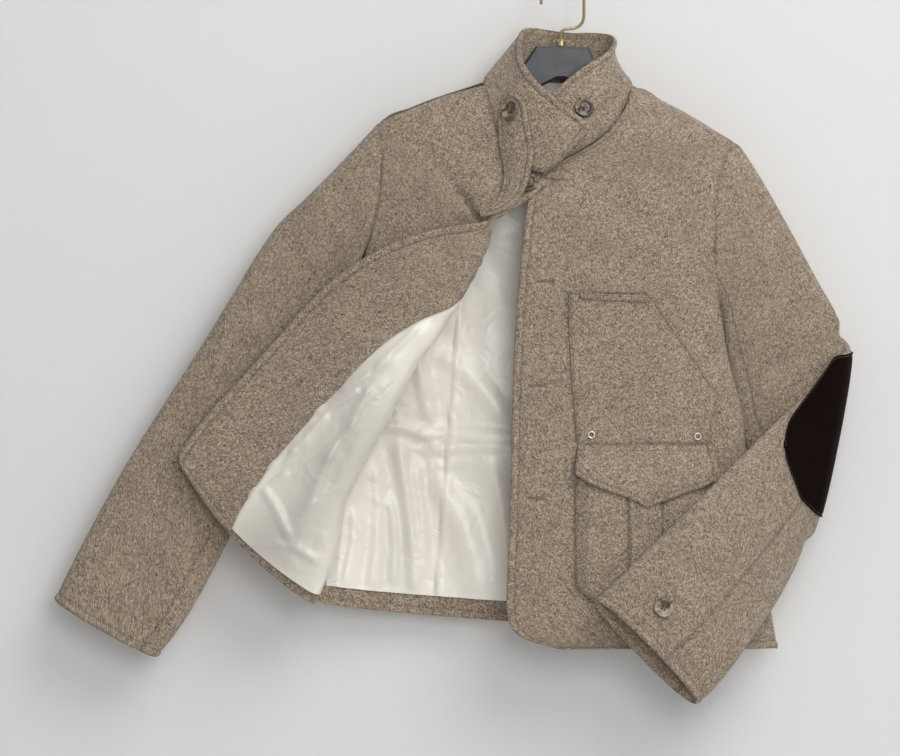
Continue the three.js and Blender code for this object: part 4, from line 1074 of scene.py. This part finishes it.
def tweed_material(cloth, trims):
    material, tree, shader, place = start_material(
        "tweed", Roughness=0.92, Sheen_Weight=0.18, Sheen_Roughness=0.55, Specular_IOR_Level=0.18)
    weave = group_node(tree, tweed_group)
    grain = add_node(tree, "ShaderNodeUVMap", uv_map="grain")
    wire(tree, place, "Object", weave, "Vector")
    wire(tree, grain, "UV", weave, "Grain")
    weave.inputs["Yarns per Metre"].default_value = cloth.yarns_per_metre
    weave.inputs["Light"].default_value = rgba(cloth.tweed_light)
    weave.inputs["Middle"].default_value = rgba(cloth.tweed_middle)
    weave.inputs["Dark"].default_value = rgba(cloth.tweed_dark)
    # The tweed is darkened by the painted shade of its grooves, edges, seams and creases
    tree.links.new(with_painted_shade(tree, weave.outputs["Color"], 0.5), shader.inputs["Base Color"])
    rumple = group_node(tree, rumple_group)
    wire(tree, place, "Object", rumple, "Vector")
    soft = add_bump(tree, shader, rumple.outputs["Height"], 5 * MM, 0.4)
    add_bump(tree, shader, weave.outputs["Height"], 0.9 * MM, 0.55, soft)
    return material


def satin_material(cloth, trims):
    material, tree, shader, place = start_material(
        "satin lining", Roughness=0.3, Sheen_Weight=0.1, Specular_IOR_Level=0.55)
    tint = object_noise(tree, place, Scale=11.0, Detail=2.0)
    pale = rgba(cloth.satin)
    deep = (pale[0] * 0.8, pale[1] * 0.79, pale[2] * 0.77, 1)
    cream = mix_colors(tree, tint.outputs["Fac"], pale, deep)
    # The lining is darkened by its painted shade: broad zones in shade and troughs at seams and folds
    tree.links.new(with_painted_shade(tree, cream, 0.55), shader.inputs["Base Color"])
    rumple = group_node(tree, rumple_group)
    rumple.inputs["Scale"].default_value = 27.0
    rumple.inputs["Twist"].default_value = 1.4
    wire(tree, place, "Object", rumple, "Vector")
    soft = add_bump(tree, shader, rumple.outputs["Height"], 5 * MM, 0.36)
    weave = add_node(tree, "ShaderNodeTexWave", Scale=620.0, bands_direction="DIAGONAL")
    grain = add_node(tree, "ShaderNodeUVMap", uv_map="grain")
    wire(tree, grain, "UV", weave, "Vector")
    add_bump(tree, shader, weave.outputs["Fac"], 0.05 * MM, 0.3, soft)
    return material


def suede_material(cloth, trims):
    material, tree, shader, place = start_material(
        "suede", Roughness=0.95, Sheen_Weight=0.03, Sheen_Roughness=0.6, Specular_IOR_Level=0.05)
    nap = object_noise(tree, place, Scale=420.0, Detail=4.0)
    brushed = object_noise(tree, place, Scale=34.0, Detail=3.0)
    dark = rgba(cloth.suede)
    worn = (dark[0] * 2.2, dark[1] * 2.1, dark[2] * 2.0, 1)
    factor = math_node(tree, "MULTIPLY", nap.outputs["Fac"], brushed.outputs["Fac"])
    mix_base(tree, shader, factor, dark, worn)
    add_bump(tree, shader, nap.outputs["Fac"], 0.5 * MM, 0.5)
    return material


def horn_material(cloth, trims):
    material, tree, shader, place = start_material(
        "horn", Roughness=0.28, Coat_Weight=0.35, Coat_Roughness=0.12)
    streaks = object_noise(tree, place, Scale=62.0, Detail=3.0, Roughness=0.5, Distortion=1.6)
    band = math_node(tree, "MULTIPLY", math_node(tree, "SUBTRACT", streaks.outputs["Fac"], 0.47, True),
                     4.2, True)
    tint = mix_colors(tree, band, rgba(trims.horn_dark), rgba(trims.horn_light))
    tree.links.new(tint, shader.inputs["Base Color"])
    add_bump(tree, shader, streaks.outputs["Fac"], 0.15 * MM, 0.2)
    return material


def metal_material(name, color, roughness):
    material, tree, shader, place = start_material(name, Metallic=1.0)
    tarnish = object_noise(tree, place, Scale=160.0, Detail=4.0)
    dull = (color[0] * 0.6, color[1] * 0.56, color[2] * 0.5, 1)
    mix_base(tree, shader, tarnish.outputs["Fac"], rgba(color), dull)
    rough = math_node(tree, "ADD", math_node(tree, "MULTIPLY", tarnish.outputs["Fac"], 0.2), roughness)
    tree.links.new(rough, shader.inputs["Roughness"])
    return material


def eyelet_material(cloth, trims):
    return metal_material("eyelet metal", trims.eyelet, 0.28)


def brass_material(cloth, trims):
    return metal_material("hook brass", trims.brass, 0.22)


def plastic_material(cloth, trims):
    material, tree, shader, place = start_material(
        "hanger plastic", Coat_Weight=0.12, Coat_Roughness=0.3)
    grain = object_noise(tree, place, Scale=700.0, Detail=2.0)
    scuff = object_noise(tree, place, Scale=45.0, Detail=5.0, Roughness=0.7)
    base = rgba(trims.plastic)
    pale = (base[0] * 1.5, base[1] * 1.5, base[2] * 1.45, 1)
    mix_base(tree, shader, scuff.outputs["Fac"], base, pale)
    rough = math_node(tree, "ADD", math_node(tree, "MULTIPLY", scuff.outputs["Fac"], 0.3), 0.28)
    tree.links.new(rough, shader.inputs["Roughness"])
    add_bump(tree, shader, grain.outputs["Fac"], 0.1 * MM, 0.3)
    return material


def thread_material(cloth, trims):
    material, tree, shader, place = start_material(
        "sewing thread", Roughness=0.7, Sheen_Weight=0.2, Specular_IOR_Level=0.3)
    ply = object_noise(tree, place, Scale=900.0, Detail=2.0)
    light = tuple(0.62 * value for value in cloth.tweed_middle)
    dark = tuple(0.3 * value for value in cloth.tweed_middle)
    mix_base(tree, shader, ply.outputs["Fac"], rgba(light), rgba(dark))
    add_bump(tree, shader, ply.outputs["Fac"], 0.2 * MM, 0.4)
    return material


MAKERS = {
    "tweed": tweed_material, "satin_lining": satin_material, "suede": suede_material,
    "horn": horn_material, "eyelet_metal": eyelet_material, "hanger_plastic": plastic_material,
    "hook_brass": brass_material, "thread": thread_material,
}


def material_for(slot, context):
    """The material of a slot, made the first time that it is asked for."""
    if slot not in MATERIALS:
        cloth, trims, _ = settings_of(context)
        MATERIALS[slot] = MAKERS[slot](cloth, trims)
    return MATERIALS[slot]


# Stitches, laid along lines on the cloth by Geometry Nodes

def join_rings(work, rings):
    """Joins rings of as many vertices with faces, and caps the first and the last."""
    for first, second in zip(rings, rings[1:]):
        for side in range(len(first)):
            after = (side + 1) % len(first)
            work.faces.new((first[side], first[after], second[after], second[side]))
    work.faces.new(rings[0][::-1])
    work.faces.new(rings[-1])


def mesh_of(name, work):
    """A mesh with its faces outwards from a bmesh, which is freed."""
    bmesh.ops.recalc_face_normals(work, faces=work.faces)
    mesh = bpy.data.meshes.new(name)
    work.to_mesh(mesh)
    work.free()
    return mesh


# Stations of a stitch: share of its length, of the thread's width, and lift in widths
STITCH_STATIONS = [(-0.5, 0.25, -0.5), (-0.3, 1.0, 0.0), (0.3, 1.0, 0.0), (0.5, 0.25, -0.5)]
STITCH_SIDES = 5
STITCH_SIZES = (0.86, 1.12)  # smallest and largest of the copies


def stitch_mesh(length, thread):
    """One stitch: a short thread that dips at both ends, along X."""
    work = bmesh.new()
    rings = []
    for along, size, lift in STITCH_STATIONS:
        ring = []
        for side in range(STITCH_SIDES):
            angle = 2 * math.pi * side / STITCH_SIDES
            ring.append(work.verts.new((
                along * length, size * thread / 2 * math.cos(angle),
                lift * thread + size * thread / 2 * math.sin(angle))))
        rings.append(ring)
    join_rings(work, rings)
    return mesh_of("one stitch", work)


def stitch_tree(material):
    """Geometry Nodes that lay a stitch at every pitch along curves, turned to the cloth's normal."""
    tree = bpy.data.node_groups.new("stitch run", "GeometryNodeTree")
    for name, kind in (("Geometry", "NodeSocketGeometry"), ("Stitch", "NodeSocketObject"),
                       ("Pitch", "NodeSocketFloat"), ("Seed", "NodeSocketInt")):
        tree.interface.new_socket(name=name, in_out="INPUT", socket_type=kind)
    tree.interface.new_socket(name="Geometry", in_out="OUTPUT", socket_type="NodeSocketGeometry")
    nodes = tree.nodes
    source, target = nodes.new("NodeGroupInput"), nodes.new("NodeGroupOutput")
    curve = nodes.new("GeometryNodeMeshToCurve")
    even = nodes.new("GeometryNodeResampleCurve")
    even.mode = "LENGTH"
    wire(tree, source, "Geometry", curve, "Mesh")
    wire(tree, curve, "Curve", even, "Curve")
    wire(tree, source, "Pitch", even, "Length")
    points = nodes.new("GeometryNodeCurveToPoints")
    points.mode = "EVALUATED"
    wire(tree, even, "Curve", points, "Curve")
    normal = nodes.new("GeometryNodeInputNamedAttribute")
    normal.data_type = "FLOAT_VECTOR"
    normal.inputs["Name"].default_value = "cloth_normal"
    along = nodes.new("FunctionNodeAxesToRotation")
    along.primary_axis, along.secondary_axis = "X", "Z"
    wire(tree, points, "Tangent", along, "Primary Axis")
    wire(tree, normal, "Attribute", along, "Secondary Axis")
    jitter = nodes.new("FunctionNodeRandomValue")
    jitter.data_type = "FLOAT"
    jitter.inputs[2].default_value, jitter.inputs[3].default_value = STITCH_SIZES
    wire(tree, source, "Seed", jitter, "Seed")
    info = nodes.new("GeometryNodeObjectInfo")
    wire(tree, source, "Stitch", info, "Object")
    copies = nodes.new("GeometryNodeInstanceOnPoints")
    wire(tree, points, "Points", copies, "Points")
    wire(tree, info, "Geometry", copies, "Instance")
    wire(tree, along, "Rotation", copies, "Rotation")
    wire(tree, jitter, 1, copies, "Scale")
    real = nodes.new("GeometryNodeRealizeInstances")
    wire(tree, copies, "Instances", real, "Geometry")
    finish = nodes.new("GeometryNodeSetMaterial")
    finish.inputs["Material"].default_value = material
    wire(tree, real, "Geometry", finish, "Geometry")
    wire(tree, finish, "Geometry", target, "Geometry")
    return tree


def set_input(modifier, tree, name, value):
    """Sets a Geometry Nodes input by its socket's identifier."""
    for item in tree.interface.items_tree:
        if item.item_type == "SOCKET" and item.in_out == "INPUT" and item.name == name:
            modifier[item.identifier] = value
            return
    raise RuntimeError(f"the tree has no input named {name}")


def run_stitches(name, lines, normals, stitch, tree, pitch, seed):
    """Bakes the stitches along lines of points in millimetres into one plain mesh object."""
    mesh = bpy.data.meshes.new(name + " route")
    vertices, edges, tilts = [], [], []
    for line, tilt in zip(lines, normals):
        first = len(vertices)
        vertices.extend((np.asarray(line) * MM).tolist())
        tilts.extend(np.asarray(tilt).tolist())
        edges.extend((first + i, first + i + 1) for i in range(len(line) - 1))
    mesh.from_pydata(vertices, edges, [])
    layer = mesh.attributes.new("cloth_normal", "FLOAT_VECTOR", "POINT")
    layer.data.foreach_set("vector", np.array(tilts, dtype=np.float32).ravel())
    route = add_object(name + " route", mesh)
    modifier = route.modifiers.new("stitches", "NODES")
    modifier.node_group = tree
    set_input(modifier, tree, "Stitch", stitch)
    set_input(modifier, tree, "Pitch", pitch)
    set_input(modifier, tree, "Seed", seed)
    graph = bpy.context.evaluated_depsgraph_get()
    baked = bpy.data.meshes.new_from_object(route.evaluated_get(graph), depsgraph=graph)
    baked.name = name
    piece = add_object(name, baked)
    bpy.data.objects.remove(route)
    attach(piece, BODY)
    return piece


# Rows of topstitching: which edge of a piece, how far in, and over which share of its length
Row = namedtuple("Row", "node edge inset start end", defaults=(0.0, 1.0))

STITCH_ROWS = [
    Row("left_front", "start", 8.5, 0.12, 1.0), Row("left_front", "foot", 8.5),
    Row("right_front", "start", 8.5),
    Row("right_facing", "start", 8.5), Row("right_front", "foot", 8.5),
    Row("back", "foot", 22.0),
    Row("collar", "foot", 7.0), Row("collar", "start", 7.0),
    Row("collar", "end", 7.0), Row("collar", "top", 3.0),
    Row("throat_tab", "start", 6.0, 0.03, 1.0), Row("throat_tab", "end", 6.0, 0.03, 1.0),
    Row("pocket_panel", "start", 2.4), Row("pocket_panel", "end", 2.4),
    Row("pocket_panel", "top", 2.4),
    Row("pocket_flap", "foot", 6.6, 0.02, 0.98), Row("pocket_flap", "start", 6.6, 0.0, 0.86),
    Row("pocket_flap", "end", 6.6, 0.0, 0.86), Row("pocket_flap", "top", 6.0),
    Row("pocket_bag", "start", 2.4), Row("pocket_bag", "end", 2.4),
    Row("pocket_bag", "foot", 2.4),
    Row("pocket_welt", "top", 1.6), Row("pocket_welt", "foot", 1.6),
    Row("left_elbow_patch", "start", 2.4), Row("left_elbow_patch", "end", 2.4),
    Row("left_elbow_patch", "top", 2.4), Row("left_elbow_patch", "foot", 2.4),
    Row("right_elbow_patch", "start", 2.4), Row("right_elbow_patch", "end", 2.4),
    Row("right_elbow_patch", "top", 2.4), Row("right_elbow_patch", "foot", 2.4),
    Row("right_sleeve_top", "foot", 30.0), Row("right_sleeve_under", "foot", 30.0),
]


def stitch_line(row):
    """Points and normals of a row of stitches on the outer face of its piece."""
    cloth = CLOTH[row.node]
    line = cloth.line(row.edge, row.inset, row.start, row.end)
    flat_points = cloth.points.reshape(-1, 3)
    flat_normals = cloth.normals.reshape(-1, 3)
    tilts = []
    for point in line:
        nearest = np.argmin(((flat_points - point) ** 2).sum(axis=1))
        tilts.append(flat_normals[nearest])
    return line, np.array(tilts)


# Buttonholes of the left front, by the middle of each slit
BUTTONHOLES = [(-7.5, -223), (-19.5, -332), (-28, -444), (-30, -564.5)]
SLIT_HALF = 9.0  # half the length of a slit
SLIT_WIDTH = 0.7
SLIT_UNDER, SLIT_OVER = -0.2, 0.3  # its two faces, from the cloth's own
SLIT_POINTS = 10
HOLE_ROW = 1.2  # from the slit to the stitches above and below it
HOLE_LIFT = 0.15
HOLE_PITCH = 2.2
HOLE_SEED = 99


def place_on(cloth, x, z):
    """The point of a cloth's outer face at a place across and up, and its normal."""
    surface = cloth.points + cloth.puff[..., None] * cloth.normals
    away = (surface[..., 0] - x) ** 2 + (surface[..., 2] - z) ** 2
    spot = np.unravel_index(np.argmin(away), away.shape)
    point, normal = surface[spot], cloth.normals[spot]
    y = point[1] - (normal[0] * (x - point[0]) + normal[2] * (z - point[2])) / normal[1]
    return np.array([x, y, z]), normal


def slit_mesh(lines, normals):
    """Thin dark strips along lines of points in millimetres, each a closed box, put as painted shade in
    the cuts of the buttonholes.
    """
    work = bmesh.new()
    half = SLIT_WIDTH / 2
    corners = [(half, SLIT_UNDER), (half, SLIT_OVER), (-half, SLIT_OVER), (-half, SLIT_UNDER)]
    for line, tilt in zip(lines, normals):
        rings = []
        for point, normal in zip(line, tilt):
            rings.append([work.verts.new((point + normal * lift + np.array([0, 0, up])) * MM)
                          for up, lift in corners])
        join_rings(work, rings)
    return mesh_of("buttonhole_slits", work)


def buttonholes(stitch, tree, context):
    """The slits of the left front, dark strips of painted shade in the cuts, with close stitches on both
    sides.
    """
    cloth = CLOTH["left_front"]
    slits, slit_tilts, rows, row_tilts = [], [], [], []
    for middle_x, middle_z in BUTTONHOLES:
        for up in (-HOLE_ROW, 0, HOLE_ROW):
            spots = [place_on(cloth, middle_x + along, middle_z + up)
                     for along in np.linspace(-SLIT_HALF, SLIT_HALF, SLIT_POINTS)]
            line = np.array([spot[0] for spot in spots])
            tilt = np.array([spot[1] for spot in spots])
            if up == 0:
                slits.append(line)
                slit_tilts.append(tilt)
            else:
                rows.append(line + tilt * HOLE_LIFT)
                row_tilts.append(tilt)
    # The slits take the thread's material as painted shade in the cuts
    mesh = slit_mesh(slits, slit_tilts)
    mesh.materials.append(material_for("thread", context))
    piece = add_object("buttonhole_slits", mesh)
    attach(piece, BODY)
    run_stitches("stitches_buttonholes", rows, row_tilts, stitch, tree, HOLE_PITCH * MM, HOLE_SEED)


# Buttons and eyelets, turned on the places where the frame has them

FACE_BAND = 0.15  # how near to its foot or top a point of a trim counts as on it


def trim_seat(node):
    """Foot, outward direction and radius of a round trim of the frame."""
    points, _ = merged_triangles(node)
    middle = points.mean(axis=0)
    _, _, axes = np.linalg.svd(points - middle)
    axis = axes[2]
    heights = (points - middle) @ axis
    reach = np.linalg.norm(points - middle - heights[:, None] * axis, axis=1)
    foot_reach = reach[heights < heights.min() + FACE_BAND].min()
    top_reach = reach[heights > heights.max() - FACE_BAND].min()
    if foot_reach > top_reach:
        axis, heights = -axis, -heights
    return middle + heights.min() * axis, axis, reach.max()


def turned(name, profile, sides=48):
    """A closed mesh turned about Z from a profile of radii and heights that starts and ends on it."""
    work = bmesh.new()
    rings = []
    for radius, height in profile:
        if radius == 0:
            rings.append([work.verts.new((0, 0, height))])
            continue
        rings.append([work.verts.new((
            radius * math.cos(2 * math.pi * side / sides),
            radius * math.sin(2 * math.pi * side / sides), height)) for side in range(sides)])
    for first, second in zip(rings, rings[1:]):
        for side in range(sides):
            after = (side + 1) % sides
            corners = [first[side % len(first)], first[after % len(first)],
                       second[after % len(second)], second[side % len(second)]]
            unique = list(dict.fromkeys(corners))
            if len(unique) >= 3:
                work.faces.new(unique)
    bmesh.ops.remove_doubles(work, verts=work.verts, dist=1e-7)
    mesh = mesh_of(name, work)
    mesh.polygons.foreach_set("use_smooth", [True] * len(mesh.polygons))
    return mesh


def cylinder(name, radius, length, place, tilt=None, sides=16):
    """A closed cylinder object about its own place, for cutting or for thread."""
    half = length / 2
    mesh = turned(name, [(0, -half), (radius, -half), (radius, half), (0, half)], sides)
    if tilt is not None:
        mesh.transform(tilt.to_4x4())
    mesh.transform(Matrix.Translation(place))
    return add_object(name, mesh)


def seat_matrix(foot, axis, spin):
    """Places a turned mesh on its seat, turned about its own axis by an angle."""
    turn = Vector(axis).to_track_quat("Z", "Y").to_matrix().to_4x4()
    return Matrix.Translation(Vector(foot) * MM) @ turn @ Matrix.Rotation(spin, 4, "Z")


BUTTON_HOLE = 1.05  # radius of a thread hole
HOLE_SPREAD = 2.3  # from the button's middle to a hole
HOLE_TURNS = [math.radians(45 + 90 * turn) for turn in range(4)]
BUTTON_THICK = 4.0
# Outline of a button from under its middle to its dish, in shares of its radius and thickness
BUTTON_PROFILE = [
    (0, 0), (0.62, 0), (0.84, 0.16), (0.97, 0.4), (1, 0.56), (0.985, 0.74), (0.93, 0.92),
    (0.85, 1), (0.76, 0.96), (0.68, 0.84), (0.56, 0.72), (0.36, 0.64), (0, 0.6),
]
THREAD_RADIUS = 0.5
THREAD_EXTRA = 1.2  # how much longer it is than the way from hole to hole
THREAD_HEIGHTS = (0.72, 0.82)  # of the two that cross, in thicknesses
THREAD_SIDES = 8
EYELET_HOLE = 2.1
EYELET_THICK = 1.5
EYELET_STEPS = 12  # round its section
EYELET_SIDES = 40


def horn_button(node, spin, context):
    """A dished four-hole button with its crossed thread, on the frame's button."""
    foot, axis, radius = trim_seat(node)
    r, thick = radius * MM, BUTTON_THICK * MM
    profile = [(r * across, thick * up) for across, up in BUTTON_PROFILE]
    piece = add_object("horn_" + node, turned("horn_" + node, profile))
    for turn in HOLE_TURNS:
        place = (HOLE_SPREAD * MM * math.cos(turn), HOLE_SPREAD * MM * math.sin(turn), thick / 2)
        tool = cylinder("hole", BUTTON_HOLE * MM, 3 * thick, place)
        cut = piece.modifiers.new("hole", "BOOLEAN")
        cut.object, cut.operation, cut.solver = tool, "DIFFERENCE", "EXACT"
        graph = bpy.context.evaluated_depsgraph_get()
        mesh = bpy.data.meshes.new_from_object(piece.evaluated_get(graph), depsgraph=graph)
        piece.modifiers.clear()
        piece.data = mesh
        bpy.data.objects.remove(tool)
    piece.data.materials.clear()
    piece.data.materials.append(material_for("horn", context))
    threads = []
    length = 2 * HOLE_SPREAD * MM + THREAD_EXTRA * MM
    for angle, height in zip(HOLE_TURNS, THREAD_HEIGHTS):
        tilt = Matrix.Rotation(angle, 3, "Z") @ Matrix.Rotation(math.pi / 2, 3, "Y")
        threads.append(cylinder(
            "thread", THREAD_RADIUS * MM, length, (0, 0, thick * height), tilt, THREAD_SIDES))
    place = seat_matrix(foot, axis, spin)
    piece.data.transform(place)
    work = bmesh.new()
    for thread in threads:
        work.from_mesh(thread.data)
        bpy.data.objects.remove(thread)
    mesh = bpy.data.meshes.new("thread_" + node)
    work.to_mesh(mesh)
    work.free()
    mesh.transform(place)
    mesh.materials.append(material_for("thread", context))
    sewn = add_object("thread_" + node, mesh)
    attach(piece, BODY)
    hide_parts(node)
    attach(sewn, BODY)


def eyelet(node, context):
    """A rolled metal ring on the frame's eyelet."""
    foot, axis, radius = trim_seat(node)
    r, hole, thick = radius * MM, EYELET_HOLE * MM, EYELET_THICK * MM
    middle, half = (r + hole) / 2, (r - hole) / 2
    ring = []
    for step in range(EYELET_STEPS + 1):
        angle = 2 * math.pi * step / EYELET_STEPS
        ring.append((middle - half * math.cos(angle), thick / 2 - thick / 2 * math.sin(angle)))
    mesh = turned("ring_" + node, ring, EYELET_SIDES)
    mesh.transform(seat_matrix(foot, axis, 0))
    mesh.materials.append(material_for("eyelet_metal", context))
    piece = add_object("ring_" + node, mesh)
    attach(piece, BODY)
    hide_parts(node)


# Operators

class SewStep:
    """What the operators that sew have in common: the list of their nodes."""

    def execute(self, context):
        sew(context, self.nodes)
        return {"FINISHED"}


class JACKET_OT_body(SewStep, bpy.types.Operator):
    """Make the back, the fronts and the facing"""

    bl_idname = "jacket.body"
    bl_label = "Body"
    nodes = ["back", "left_front", "right_front", "right_facing"]


class JACKET_OT_linings(SewStep, bpy.types.Operator):
    """Make the satin linings"""

    bl_idname = "jacket.linings"
    bl_label = "Linings"
    nodes = ["right_front_lining", "back_lining"]


class JACKET_OT_sleeves(SewStep, bpy.types.Operator):
    """Make the sleeves and their elbow patches"""

    bl_idname = "jacket.sleeves"
    bl_label = "Sleeves"
    nodes = [cut.node for cut in CUTS if cut.group in ("right_arm", "left_arm")]


class JACKET_OT_collar(SewStep, bpy.types.Operator):
    """Make the collar and the throat tab"""

    bl_idname = "jacket.collar"
    bl_label = "Collar"
    nodes = ["collar", "throat_tab"]


class JACKET_OT_pocket(SewStep, bpy.types.Operator):
    """Make the pocket's panel, welt, flap and bag"""

    bl_idname = "jacket.pocket"
    bl_label = "Pocket"
    nodes = ["pocket_panel", "pocket_welt", "pocket_flap", "pocket_bag"]


class JACKET_OT_stitching(bpy.types.Operator):
    """Lay the topstitching along the edges"""

    bl_idname = "jacket.stitching"
    bl_label = "Stitching"

    def execute(self, context):
        cloth = settings_of(context)[0]
        stitch = bpy.data.objects.new("one stitch", stitch_mesh(cloth.stitch_length, cloth.thread))
        tree = stitch_tree(material_for("thread", context))
        nodes = list(dict.fromkeys(row.node for row in STITCH_ROWS))
        for seed, node in enumerate(nodes):
            routes = [stitch_line(row) for row in STITCH_ROWS if row.node == node]
            lines = [route[0] for route in routes]
            tilts = [route[1] for route in routes]
            run_stitches("stitches_" + node, lines, tilts, stitch, tree, cloth.stitch_pitch, seed)
        buttonholes(stitch, tree, context)
        bpy.data.objects.remove(stitch)
        return {"FINISHED"}


class JACKET_OT_buttons(bpy.types.Operator):
    """Make the horn buttons and the eyelets"""

    bl_idname = "jacket.buttons"
    bl_label = "Buttons"

    def execute(self, context):
        buttons = [node for node in SEATED_TRIMS if node.endswith("button") or "_button_" in node]
        for count, node in enumerate(buttons):
            horn_button(node, 0.7 * count, context)
        for node in SEATED_TRIMS:
            if "eyelet" in node:
                eyelet(node, context)
        return {"FINISHED"}


class JACKET_OT_hanger(bpy.types.Operator):
    """Finish the hanger, its ferrule and its hook"""

    bl_idname = "jacket.hanger"
    bl_label = "Hanger"

    def execute(self, context):
        for node, slot in (("hanger_body", "hanger_plastic"), ("hanger_ferrule", "hook_brass"),
                           ("hanger_hook", "hook_brass")):
            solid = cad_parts[node]
            solid.data.materials.clear()
            solid.data.materials.append(material_for(slot, context))
        return {"FINISHED"}


def plane(name, corners, material):
    """A flat sheet of the stage from its corners."""
    mesh = bpy.data.meshes.new(name)
    mesh.from_pydata(corners, [], [tuple(range(len(corners)))])
    mesh.materials.append(material)
    piece = add_object(name, mesh)
    return piece


def paint_material(name, color, one_sided):
    """Matt paint, clear from behind where it is one-sided."""
    material, tree, shader, place = start_material(name, Roughness=0.9, Specular_IOR_Level=0.1)
    cloud = object_noise(tree, place, Scale=3.0, Detail=2.0)
    deep = tuple(0.97 * value for value in color)
    mix_base(tree, shader, cloud.outputs["Fac"], rgba(color), rgba(deep))
    if one_sided:
        geometry = tree.nodes.new("ShaderNodeNewGeometry")
        clear = tree.nodes.new("ShaderNodeBsdfTransparent")
        blend = tree.nodes.new("ShaderNodeMixShader")
        output = tree.nodes["Material Output"]
        wire(tree, geometry, "Backfacing", blend, "Fac")
        tree.links.new(shader.outputs[0], blend.inputs[1])
        tree.links.new(clear.outputs[0], blend.inputs[2])
        tree.links.new(blend.outputs[0], output.inputs["Surface"])
    return material


def area_light(name, power, size, place, target, tint=(1, 1, 1)):
    """A square soft light aimed at a place."""
    light = bpy.data.lights.new(name, "AREA")
    light.energy, light.size, light.color = power, size, tint
    holder = add_object(name, light)
    holder.location = place
    holder.rotation_euler = (Vector(target) - Vector(place)).to_track_quat("-Z", "Y").to_euler()


MIDDLE = Vector((-0.1215, -0.02, -0.436))  # of the photo's view, in metres
STAGE_REACH = 4.0  # of the wall and the floor to each side, in metres
WALL_COLOR = (0.66, 0.655, 0.65)
FLOOR_COLOR = (0.6, 0.595, 0.59)
WORLD_COLOR = (0.9, 0.92, 0.95, 1)
WORLD_STRENGTH = 0.42


class JACKET_OT_stage(bpy.types.Operator):
    """Set up the wall, the floor, the lights and the camera"""

    bl_idname = "jacket.stage"
    bl_label = "Stage"

    def execute(self, context):
        stage = settings_of(context)[2]
        floor_z, reach = CAD_BOX[0].z - stage.floor_drop, STAGE_REACH
        wall = plane("wall", [
            (-reach, stage.wall_gap, floor_z), (reach, stage.wall_gap, floor_z),
            (reach, stage.wall_gap, reach), (-reach, stage.wall_gap, reach),
        ], paint_material("wall paint", WALL_COLOR, True))
        wall.visible_shadow = False
        plane("floor", [
            (-reach, -reach, floor_z), (reach, -reach, floor_z),
            (reach, reach, floor_z), (-reach, reach, floor_z),
        ], paint_material("floor paint", FLOOR_COLOR, False))
        area_light("key", stage.key_power, 2.2, (1.3, -2.1, 1.9), MIDDLE, (1, 0.985, 0.96))
        area_light("fill", stage.fill_power, 1.5, (0.5, -3.6, 0.1), MIDDLE)
        area_light("rear", stage.rear_power, 2.2, (0.9, 2.9, 0.7), MIDDLE)
        world = bpy.data.worlds.new("studio")
        world.use_nodes = True
        background = world.node_tree.nodes["Background"]
        background.inputs["Color"].default_value = WORLD_COLOR
        background.inputs["Strength"].default_value = WORLD_STRENGTH
        context.scene.world = world
        context.scene.view_settings.view_transform = "Standard"
        lens = bpy.data.cameras.new("camera")
        lens.sensor_width = 36
        lens.lens = lens.sensor_width * stage.distance / stage.view_width
        camera = add_object("camera", lens)
        camera.location = MIDDLE + Vector((0, -stage.distance, 0))
        camera.rotation_euler = (math.pi / 2, 0, 0)
        context.scene.camera = camera
        return {"FINISHED"}


class JACKET_PT_panel(bpy.types.Panel):
    """Lists the jacket's steps"""

    bl_idname = "JACKET_PT_panel"
    bl_label = "Jacket"
    bl_space_type = "VIEW_3D"
    bl_region_type = "UI"
    bl_category = "Jacket"

    def draw(self, context):
        for operator in OPERATORS:
            self.layout.operator(operator.bl_idname)


OPERATORS = [
    JACKET_OT_stage, JACKET_OT_body, JACKET_OT_linings, JACKET_OT_sleeves, JACKET_OT_collar,
    JACKET_OT_pocket, JACKET_OT_stitching, JACKET_OT_buttons, JACKET_OT_hanger,
]
CLASSES = [JacketClothSettings, JacketTrimSettings, JacketStageSettings, *OPERATORS, JACKET_PT_panel]


def register():
    for item in CLASSES:
        bpy.utils.register_class(item)
    bpy.types.Scene.jacket_cloth = bpy.props.PointerProperty(type=JacketClothSettings)
    bpy.types.Scene.jacket_trims = bpy.props.PointerProperty(type=JacketTrimSettings)
    bpy.types.Scene.jacket_stage = bpy.props.PointerProperty(type=JacketStageSettings)


def unregister():
    del bpy.types.Scene.jacket_stage
    del bpy.types.Scene.jacket_trims
    del bpy.types.Scene.jacket_cloth
    for item in reversed(CLASSES):
        bpy.utils.unregister_class(item)


def main():
    register()
    bpy.ops.jacket.stage()
    bpy.ops.jacket.body()
    bpy.ops.jacket.linings()
    bpy.ops.jacket.sleeves()
    bpy.ops.jacket.collar()
    bpy.ops.jacket.pocket()
    bpy.ops.jacket.stitching()
    bpy.ops.jacket.buttons()
    bpy.ops.jacket.hanger()


if __name__ == "__main__":
    main()
